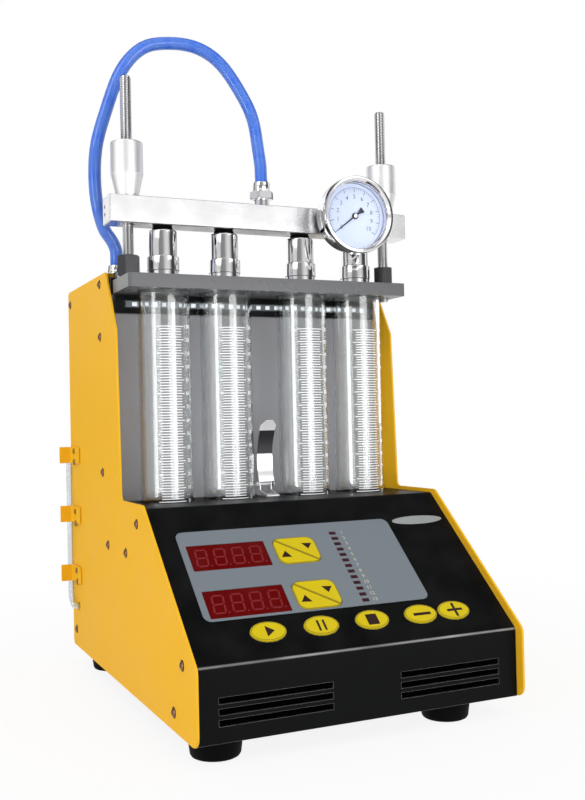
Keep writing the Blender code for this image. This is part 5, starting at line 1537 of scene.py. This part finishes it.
@dataclass
class MeasuringBay:
    """Tubes with their scales, between the base block and the top plate."""

    radius: float = 0.023
    wall: float = 0.0025
    edge: float = 0.0004
    low: float = 0.1661
    high: float = 0.3572
    scale_low: float = 0.1715
    tick_pitch: float = 0.002312
    tick_count: int = 66
    ticks_per_figure: int = 5
    tick_height: float = 0.0007
    tick_arc: float = math.radians(50)
    long_arc: float = math.radians(62)
    tick_turn: float = math.radians(4)
    figure_turn: float = math.radians(-38)
    figure_height: float = 0.0034
    strip_size: Point = (0.246, 0.0007, 0.0054)
    strip_place: Flat = (0.0032, 0.0085)
    strip_inset: float = 0.0004
    spot_size: Point = (0.0042, 0.0006, 0.0034)
    spot_pitch: float = 0.0092
    spot_count: int = 26

    def build(self) -> None:
        """Make the bay."""
        inner, outer, edge = self.radius - self.wall, self.radius, self.edge
        profile = (
            (inner, self.low + edge), (inner + edge, self.low), (outer - edge, self.low),
            (outer, self.low + edge), (outer, self.high - edge), (outer - edge, self.high),
            (inner + edge, self.high), (inner, self.high - edge), (inner, self.low + edge),
        )
        tube = bench.turned("tube", profile, 96)
        scale = self.scale()
        for number, x in enumerate(TUBE_XS, start=1):
            name = f"measuring_tube_{number}"
            glass = bench.copied(tube, f"{name}_dressed", on_bay(x))
            bench.fit(glass, "tube_glass", replaces=[name])
            figures = bench.copied(scale, f"tube_scale_{number}", on_bay(x))
            bench.fit(figures, "scale_ink_painted_glow", slot="tube_glass")
        bench.discard(tube, scale)
        bench.dress("tube_base", "black_block", 0.0003)
        bench.dress("bay_back_panel", "grey_paint", 0.0003)
        bench.dress("light_bar", "black_paint", 0.0002)
        bench.dress("top_plate", "dark_plate", 0.0006)
        self.light_strip()

    def ticks(self, name: str, angle: float, count: int, pitch: float) -> Thing:
        """Print a ladder of curved ticks on a tube about Z.

        Args:
            name: Its name.
            angle: How far each tick runs round the tube.
            count: How many ticks there are.
            pitch: Their spacing.

        Returns:
            The ladder.
        """
        inner, outer = self.radius - INK / 5, self.radius + INK
        low, high = self.scale_low, self.scale_low + self.tick_height
        ring = [(inner, low), (outer, low), (outer, high), (inner, high), (inner, low)]
        first = -math.pi / 2 - self.tick_turn - angle / 2
        tick = bench.turned(name, ring, 14, -angle, first)
        return bench.row(tick, count, (0.0, 0.0, pitch))

    def scale(self) -> Thing:
        """Print one tube's ticks and figures.

        Returns:
            The print.
        """
        step = self.tick_pitch * self.ticks_per_figure
        count = 1 + (self.tick_count - 1) // self.ticks_per_figure
        pieces = [
            self.ticks("ticks", self.tick_arc, self.tick_count, self.tick_pitch),
            self.ticks("long_ticks", self.long_arc, count, step),
        ]
        turn = Matrix.Rotation(-self.figure_turn, 4, "Z")
        for index in range(count):
            z = self.scale_low + step * index + self.tick_height / 2
            place = turn @ Way.FRONT.at((0.0, -self.radius - INK / 2, z))
            text = str(10 * index)
            pieces.append(bench.words(f"figure_{index}", text, self.figure_height, place))
        return bench.joined("tube_scale", pieces)

    def light_strip(self) -> None:
        """Lay the light strip and its spots in their groove."""
        front = BACK_PANEL_Y - FIT - self.strip_place[0]
        level = PLATE_Z - FIT - self.strip_place[1]
        centre = (MIDDLE_X, front + self.strip_inset, level)
        strip = bench.block("light_strip", self.strip_size, centre, 0.0002)
        bench.fit(strip, "grey_label", slot="tube_glass")
        spot = bench.block("light_spots", self.spot_size, (0.0, front, level), 0.0002)
        bench.row(spot, self.spot_count, (self.spot_pitch, 0.0, 0.0))
        bench.placed(spot, moved(MIDDLE_X - self.spot_pitch * (self.spot_count - 1) / 2, 0.0, 0.0))
        bench.fit(spot, "light_spot", slot="tube_glass")


@dataclass
class Thread:
    """A turned core with a helical ridge of triangular section."""

    radius: float = 0.005
    depth: float = 0.00062
    pitch: float = 0.0015
    steps: int = 20

    def build(self, name: str, low: float, high: float) -> Thing:
        """Make a threaded rod about Z.

        Args:
            name: Its name.
            low: Its lower end.
            high: Its upper end.

        Returns:
            The rod.
        """
        depth, root = self.depth, self.radius - self.depth
        profile = (
            (0.0, low), (root - depth, low), (root, low + depth),
            (root, high - depth), (root - depth, high), (0.0, high),
        )
        core = bench.turned(f"{name}_core", profile, self.steps)
        start = low + self.pitch / 2
        half = self.pitch * 0.45
        inside = root - depth / 4
        corners = ((inside, start - half), (self.radius, start), (inside, start + half))
        bench.draw([(radius, 0.0, z) for radius, z in (*corners, corners[0])])
        ridge = bench.done(f"{name}_ridge")
        screw = ridge.modifiers.new("helix", "SCREW")
        screw.steps = self.steps
        screw.render_steps = self.steps
        screw.iterations = int((high - low - self.pitch) / self.pitch)
        screw.screw_offset = self.pitch
        screw.use_smooth_shade = False
        bench.edit(bench.apply(ridge, screw))
        ridge = bench.sealed(f"{name}_ridge", merge=True, fill=True)
        return bench.joined(name, [core, ridge])


@dataclass
class ClampFrame:
    """Rods, nuts, rail, adapters, seals and hose fittings over the top plate."""

    rod_length: float = 0.1845
    rod_seats: Flat = (0.010, 0.015)
    nut_flats: float = 0.017
    nut_height: float = 0.0179
    nut_hole: float = 0.0053
    clamp_radius: float = 0.014
    clamp_foot: float = 0.0095
    clamp_height: float = 0.0475
    cone_height: float = 0.019
    adapter_radius: float = 0.0125
    adapter_height: float = 0.0412
    adapter_bore: float = 0.0045
    adapter_round: float = 0.002
    collar_radius: float = 0.01415
    collar_height: float = 0.0177
    ring_height: float = 0.0052
    spigot_radius: float = 0.0087
    spigot_length: float = 0.006
    seal_radius: float = 0.009
    seal_height: float = 0.003
    hex_flats: float = 0.020
    rail_fitting: Point = (0.0065, 0.007, 0.009)
    port_fitting: Point = (0.0, 0.0055, 0.0072)
    port_place: Point = (-0.1214, 0.0457, 0.3703)
    port_depth: float = 0.0057
    end_holes: tuple[Point, ...] = ((-0.1419, 0.0044, 0.4201), (-0.1419, 0.0044, 0.4267))
    end_hole: float = 0.0034

    def build(self) -> None:
        """Make the frame."""
        self.build_rods()
        self.build_clamp_nuts()
        self.build_adapters()
        bench.dress("fuel_rail", "satin_aluminium", 0.0005, "rail")
        # A black disc just inside each end hole: painted shade in the holes.
        for number, hole in enumerate(self.end_holes, start=1):
            size = (self.end_hole, self.end_hole)
            hole_shade = bench.disc(f"rail_end_hole_shade_{number}", size, -0.001, -0.0004, 24)
            bench.placed(hole_shade, Way.LEFT.at(hole))
            bench.fit(hole_shade, "black_rubber", "rail", slot="black_rubber")
        rail_place = (MIDDLE_X, BAY_Y, CLAMP_NUT_Z)
        self.fitting("hose_fitting_rail", "rail", rail_place, self.rail_fitting)
        self.fitting("hose_fitting_housing", "base", self.port_place, self.port_fitting)

    def hexagon(self, name: str, flats: float, low: float, high: float) -> Thing:
        """Make a hexagon whose corners are turned off above and below.

        Args:
            name: Its name.
            flats: Its width over flats.
            low: Its lower face.
            high: Its upper face.

        Returns:
            The hexagon.
        """
        corner = flats / 2 / math.cos(math.pi / 6)
        turn = [math.pi / 3 * index for index in range(6)]
        outline = [(corner * math.cos(angle), corner * math.sin(angle)) for angle in turn]
        body = bench.slab(name, outline, low, high)
        drop = (corner - flats / 2) * 0.6
        face, reach = flats / 2 * 0.99, corner * 1.01
        profile = (
            (0.0, high), (face, high), (reach, high - drop),
            (reach, low + drop), (face, low), (0.0, low),
        )
        return bench.cut(body, [bench.turned(f"{name}_cone", profile, 48)], "INTERSECT")

    def build_rods(self) -> None:
        """Make the threaded rods and the hexagon nuts at their feet."""
        foot, top = ADAPTER_Z, ADAPTER_Z + self.nut_height
        bore = self.nut_hole
        hole_profile = ((0.0, top + FIT), (bore, top + FIT), (bore, foot - FIT), (0.0, foot - FIT))
        for (side, sign), seat in zip(SIDES, self.rod_seats):
            low = PLATE_TOP_Z - seat
            place = on_bay(sign * ROD_X)
            name = f"clamp_rod_{side}"
            rod = Thread().build(f"{name}_dressed", low, low + self.rod_length)
            bench.fit(bench.placed(rod, place), "zinc_steel", replaces=[name])
            name = f"rod_nut_{side}"
            nut = self.hexagon(f"{name}_dressed", self.nut_flats, foot, top)
            nut = bench.cut(nut, [bench.turned("hole", hole_profile, 32)])
            bench.fit(bench.placed(nut, place), "black_steel", replaces=[name])

    def build_clamp_nuts(self) -> None:
        """Turn the two clamp nuts."""
        low = CLAMP_NUT_Z
        top = low + self.clamp_height
        cone = low + self.cone_height
        bore, radius, foot = self.nut_hole, self.clamp_radius, self.clamp_foot
        profile = (
            (bore + 0.0008, top),
            *eased(radius, top),
            (radius, cone + 0.0004), (radius - 0.0003, cone - 0.0003),
            (foot + 0.0003, low + 0.0013), (foot, low + 0.0008), (foot - 0.0002, low),
            (bore + 0.0005, low), (bore, low + 0.0005), (bore, top - 0.0008), (bore + 0.0008, top),
        )
        for side, sign in SIDES:
            name = f"clamp_nut_{side}"
            told = {"body": name, "slot": "satin_aluminium", "smooth": math.radians(6)}
            bench.lathe(name, profile, 80, on_bay(sign * ROD_X), "turned_aluminium", **told)

    def build_adapters(self) -> None:
        """Turn the four adapters and their seals."""
        low = ADAPTER_Z
        top = low + self.adapter_height
        body, collar, bore = self.adapter_radius, self.collar_radius, self.adapter_bore
        step = low + self.collar_height
        ring = low + self.ring_height
        tail = low - self.spigot_length
        soft = self.adapter_round
        profile = (
            (bore, top),
            *quarter((body - soft, top - soft), soft, 90),
            (body, step + 0.0004), (body + 0.0004, step), (collar - 0.0008, step),
            (collar - 0.0002, step - 0.0002), (collar, step - 0.0008), (collar, ring + 0.0006),
            (collar - 0.0006, ring), (collar - 0.0006, low + 0.0005), (collar - 0.0011, low),
            (self.spigot_radius, low), (self.spigot_radius, tail), (bore, tail), (bore, top),
        )
        foot, head = SEAL_Z, SEAL_Z + self.seal_height
        half = (foot + head) / 2
        outer = self.seal_radius
        seal_profile = (
            (bore, head), (outer - 0.0008, head), (outer - 0.0002, half + 0.0008), (outer, half),
            (outer - 0.0002, half - 0.0008), (outer - 0.0008, foot), (bore, foot), (bore, head),
        )
        for number, x in enumerate(TUBE_XS, start=1):
            bench.lathe(f"injector_adapter_{number}", profile, 80, on_bay(x), "polished_metal")
            bench.lathe(f"adapter_seal_{number}", seal_profile, 48, on_bay(x), "black_rubber")

    def fitting(self, name: str, body: str, place: Point, heights: Point) -> None:
        """Make one hose fitting.

        Args:
            name: The node that it replaces.
            body: The body that carries it.
            place: Its foot.
            heights: Heights of its round boss, its hexagon and its sleeve.
        """
        boss, hexagon, sleeve = heights
        seat = boss + hexagon
        top = seat + sleeve
        tail = -self.port_depth
        profile = (
            (0.0, top), (0.0066, top), (0.0076, top - 0.0004), (0.008, top - 0.0013),
            (0.008, seat + 0.0012), (0.0075, seat + 0.0004), (0.0075, seat - FIT),
            (0.007, seat - 0.001), (0.007, 0.0), (0.0045, 0.0), (0.0045, tail), (0.0, tail),
        )
        core = bench.turned(f"{name}_core", profile, 64)
        nut = self.hexagon(f"{name}_hexagon", self.hex_flats, boss, seat)
        whole = bench.placed(bench.cut(core, [nut], "UNION"), Matrix.Translation(place))
        bench.fit(whole, "polished_metal", body, replaces=[name])


@dataclass
class PressureGauge:
    """Case, bezel, dial with its printed scale, needle and lens."""

    place: Point = (0.0807, -0.0187, 0.4254)
    case_radius: float = 0.0315
    case_bore: float = 0.030
    case_round: float = 0.004
    case_wall: float = 0.0015
    stem: Flat = (0.005, -0.0107)
    rim: float = 0.0220
    bezel_radius: float = 0.03525
    opening: float = 0.0305
    depth: float = 0.028
    bezel_back: float = 0.0155
    lens: Flat = (0.0223, 0.0241)
    dial: Flat = (0.0167, 0.0175)
    dial_radius: float = 0.0297
    dial_hole: float = 0.0011
    first_angle: float = math.radians(218)
    sweep: float = math.radians(256)
    divisions: int = 10
    minor: int = 5
    scale_radius: float = 0.0262
    scale_line: float = 0.0003
    long_tick: Flat = (0.0222, 0.0006)
    short_tick: Flat = (0.0240, 0.00028)
    figure_radius: float = 0.0178
    figure_height: float = 0.004
    needle_length: float = 0.023

    def build(self) -> None:
        """Make the gauge."""
        at = Way.FRONT.at(self.place)
        self.build_case(at)
        self.build_dial(at)
        self.build_needle(at)

    def build_case(self, at: Matrix) -> None:
        """Turn the case, the bezel and the lens.

        Args:
            at: The gauge's own frame.
        """
        radius, bore, wall, soft = self.case_radius, self.case_bore, self.case_wall, self.case_round
        seat = self.dial[0] - FIT
        stem, tail = self.stem
        case = (
            (0.0, wall), (bore - wall, wall), (bore - wall, seat), (bore, seat), (bore, self.rim),
            (radius, self.rim),
            *quarter((radius - soft, soft), soft, 0),
            (stem, 0.0), (stem, tail), (0.0, tail),
        )
        bench.lathe("gauge_case", case, 128, at, "polished_metal", body="rail")
        outer, depth, back, opening = self.bezel_radius, self.depth, self.bezel_back, self.opening
        bezel = (
            (opening + 0.0012, depth - 0.0006), (opening + 0.0019, depth),
            *eased(outer, depth),
            *reversed(eased(outer, back, -1)),
            (radius + FIT, back), (radius + FIT, depth - 0.0036), (opening, depth - 0.0036),
            (opening, depth - 0.0024), (opening + 0.0012, depth - 0.0006),
        )
        bench.lathe("gauge_bezel", bezel, 128, at, "polished_metal", body="rail")
        low, high = self.lens
        lens = ((0.0, high), (radius, high), (radius, low), (0.0, low))
        bench.lathe("gauge_lens", lens, 128, at, "lens_glass", body="rail", slot="tube_glass")

    def mark(self, angle: float, inner: float, width: float) -> Thing:
        """Print one tick on the dial.

        Args:
            angle: Where it points.
            inner: Its inner end.
            width: Its width.

        Returns:
            The tick.
        """
        half, outer, top = width / 2, self.scale_radius, self.dial[1]
        outline = [(inner, -half), (outer, -half), (outer, half), (inner, half)]
        tick = bench.slab("tick", outline, top - INK / 2, top + INK)
        return bench.placed(tick, Matrix.Rotation(angle, 4, "Z"))

    def arc(self) -> Thing:
        """Print the line along the scale.

        Returns:
            The line.
        """
        low, high = self.dial[1] - INK / 2, self.dial[1] + INK
        half = self.scale_line / 2
        inner, outer = self.scale_radius - half, self.scale_radius + half
        ring = ((inner, low), (outer, low), (outer, high), (inner, high), (inner, low))
        return bench.turned("scale_arc", ring, 72, self.sweep, self.first_angle)

    def build_dial(self, at: Matrix) -> None:
        """Make the dial and print its scale and plain numbers.

        Args:
            at: The gauge's own frame.
        """
        low, high = self.dial
        radius, hole = self.dial_radius, self.dial_hole
        dial = ((hole, high), (radius, high), (radius, low), (hole, low), (hole, high))
        bench.lathe("gauge_dial", dial, 96, at, "dial_face", body="rail")
        prints = [self.arc()]
        count = self.divisions * self.minor
        for index in range(count + 1):
            angle = self.first_angle - self.sweep * index / count
            size = self.short_tick if index % self.minor else self.long_tick
            prints.append(self.mark(angle, *size))
        for number in range(self.divisions + 1):
            angle = self.first_angle - self.sweep * number / self.divisions
            reach = self.figure_radius
            place = moved(reach * math.cos(angle), reach * math.sin(angle), high + INK / 2)
            prints.append(bench.words(f"figure_{number}", str(number), self.figure_height, place))
        scale = bench.placed(bench.joined("gauge_scale", prints), at)
        bench.fit(scale, "dial_ink", "rail", slot="dial_face")

    def build_needle(self, at: Matrix) -> None:
        """Make the needle and its hub.

        Args:
            at: The gauge's own frame.
        """
        base = self.dial[1] + FIT
        length = self.needle_length
        outline = [
            (length, -0.0002), (length, 0.0002), (0.0, 0.0009), (-0.0045, 0.0009),
            (-0.0095, 0.0028), (-0.010, 0.0024), (-0.010, -0.0024), (-0.0095, -0.0028),
            (-0.0045, -0.0009), (0.0, -0.0009),
        ]
        blade = bench.slab("needle_blade", outline, base + 0.0005, base + 0.0011)
        hub = (
            (0.0, base + 0.0016), (0.0022, base + 0.0016), (0.0029, base + 0.0011), (0.003, base),
            (0.0008, base), (0.0008, self.dial[0]), (0.0, self.dial[0]),
        )
        needle = bench.cut(blade, [bench.turned("needle_hub", hub, 48)], "UNION")
        needle.name = "gauge_needle_dressed"
        bench.placed(needle, at @ Matrix.Rotation(self.first_angle, 4, "Z"))
        bench.fit(needle, "needle_black", "gauge_needle", replaces=["gauge_needle"])
        top = base + 0.0022
        cap = ((0.0, top), (0.0013, top), (0.0019, top - 0.0003), (0.002, base), (0.0, base))
        whole = bench.placed(bench.turned("needle_cap", cap, 48), at)
        bench.fit(whole, "polished_metal", "gauge_needle", slot="needle_black")


@dataclass
class Latch:
    """Bracket on the tube base and the curved lever that turns on its pin."""

    # Heights of the painted dark reflection across the lever's front, and how far to the front its
    # faces must turn.
    band_low: float = 0.2092
    band_high: float = 0.2305
    facing: float = -0.3

    def build(self) -> None:
        """Make the latch."""
        bench.dress("latch_base", "turned_aluminium", 0.00025, slot="polished_metal")
        lever = bench.worked("latch_lever", 0.00035, 3)
        self.score(lever)
        finish = ("latch_steel", "latch_lever", "polished_metal")
        lever = bench.fit(lever, *finish, replaces=["latch_lever"])
        # The lever's top takes a pale matte finish as a painted highlight, and its front faces
        # between the two heights a black one as a painted dark reflection.
        for extra in ("black_steel", "latch_top_painted_highlight"):
            lever.data.materials.append(bench.finishes[extra])
        for face in lever.data.polygons:
            in_dark_reflection = self.band_low < face.center.z < self.band_high and face.normal.y < self.facing
            face.material_index = 2 if face.center.z > self.band_high else int(in_dark_reflection)
        bench.flattened(lever)

    def score(self, lever: Thing) -> None:
        """Cut the lever's faces along the two edges of the painted dark reflection.

        Args:
            lever: The lever.
        """
        for level in (self.band_low, self.band_high):
            bench.edit(lever)
            bpy.ops.mesh.bisect(plane_co=(0.0, 0.0, level), plane_no=(0.0, 0.0, 1.0))
        bench.free()


@dataclass
class LevelGauge:
    """Clear level tube on the left panel, held by screwed clips."""

    radius: float = 0.0031
    wall: float = 0.0007
    x: float = -0.1409
    end_x: float = -0.134
    back_y: float = 0.1867
    hole_y: float = 0.1659
    top_z: float = 0.200
    hole_z: float = 0.0571
    bend: float = 0.0158
    entry_bend: float = 0.005
    bend_steps: int = 10
    clip_sheet: float = 0.0015
    clip_screws: tuple[Flat, ...] = (
        (0.1696, 0.2127), (0.1690, 0.2017), (0.1680, 0.1519),
        (0.1675, 0.1398), (0.1660, 0.0927), (0.1635, 0.0819),
    )

    def build(self) -> None:
        """Make the level gauge."""
        tube = bench.pipe("level_tube_dressed", self.middle_line(), self.radius, 6, False)
        wall = tube.modifiers.new("wall", "SOLIDIFY")
        wall.thickness = self.wall
        wall.offset = -1.0
        bench.fit(bench.apply(tube, wall), "clear_tube", replaces=["level_tube"])
        for number in (1, 2, 3):
            bench.dress(f"tube_clip_{number}", "yellow_paint", 0.0003)
        face = MIDDLE_X - HALF_WIDTH - FIT - self.clip_sheet
        places = []
        for number, (y, z) in enumerate(self.clip_screws, start=1):
            places.append((f"screw_clip_{number}", Way.LEFT.at((face, y, z))))
        Screws(radius=0.0022, height=0.0013, slot=(0.0005, 0.0026)).drive(places)

    def middle_line(self) -> list[Vector]:
        """Give the tube's middle line.

        Returns:
            Its points, from the top down and in.
        """
        x, low, bend, small = MIDDLE_X + self.x, self.hole_z, self.bend, self.entry_bend
        turn = [math.pi / 2 * step / self.bend_steps for step in range(self.bend_steps + 1)]
        line = [Vector((x, self.back_y, self.top_z))]
        for angle in turn:
            y = self.back_y - bend + bend * math.cos(angle)
            line.append(Vector((x, y, low + bend - bend * math.sin(angle))))
        for angle in turn:
            y = self.hole_y + small - small * math.sin(angle)
            line.append(Vector((x + small - small * math.cos(angle), y, low)))
        return line + [Vector((MIDDLE_X + self.end_x, self.hole_y, low))]


@dataclass
class RearInlet:
    """Power inlet with its three blades, and the rocker switch above it."""

    centre: Point = (0.0881, 0.1878, 0.075)
    socket_drop: float = 0.0125
    flange: float = 0.0025
    socket_depth: float = 0.017
    blade: Point = (0.0016, 0.004, 0.0125)
    blade_places: tuple[Flat, ...] = ((-0.007, -0.0018), (0.007, -0.0018), (0.0, 0.0022))

    def build(self) -> None:
        """Make the inlet."""
        bench.dress("power_inlet", "black_plastic", 0.0003)
        at = Way.BACK.at(self.centre)
        level = self.flange - self.socket_depth + self.blade[2] / 2 - INK
        for number, (x, y) in enumerate(self.blade_places, start=1):
            centre = (x, y - self.socket_drop, level)
            blade = bench.block(f"inlet_blade_{number}", self.blade, centre, 0.0004)
            bench.fit(bench.placed(blade, at), "polished_metal", slot="polished_metal")
        bench.dress("power_switch", "black_plastic", 0.0003, "power_switch")


@dataclass
class InnerParts:
    """Finishes of the carried-over pieces inside the body."""

    finishes: tuple[tuple[str, str], ...] = (
        ("control_board", "red_display"),
        ("fluid_tank", "tank_plastic"),
    )

    def build(self) -> None:
        """Give each carried-over piece its finish."""
        for node, finish in self.finishes:
            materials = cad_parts[node].data.materials
            materials.clear()
            materials.append(bench.finishes[finish])
            log.info("%s finished in %s", node, finish)


def main() -> None:
    """Dress the machine."""
    logging.basicConfig(level=logging.INFO, format="%(message)s")
    assemblies = (
        Studio, FuelHose, BodyShell, ControlPanel, MeasuringBay, ClampFrame, PressureGauge,
        Latch, LevelGauge, RearInlet, InnerParts,
    )
    for assembly in assemblies:
        assembly().build()


if __name__ == "__main__":
    main()
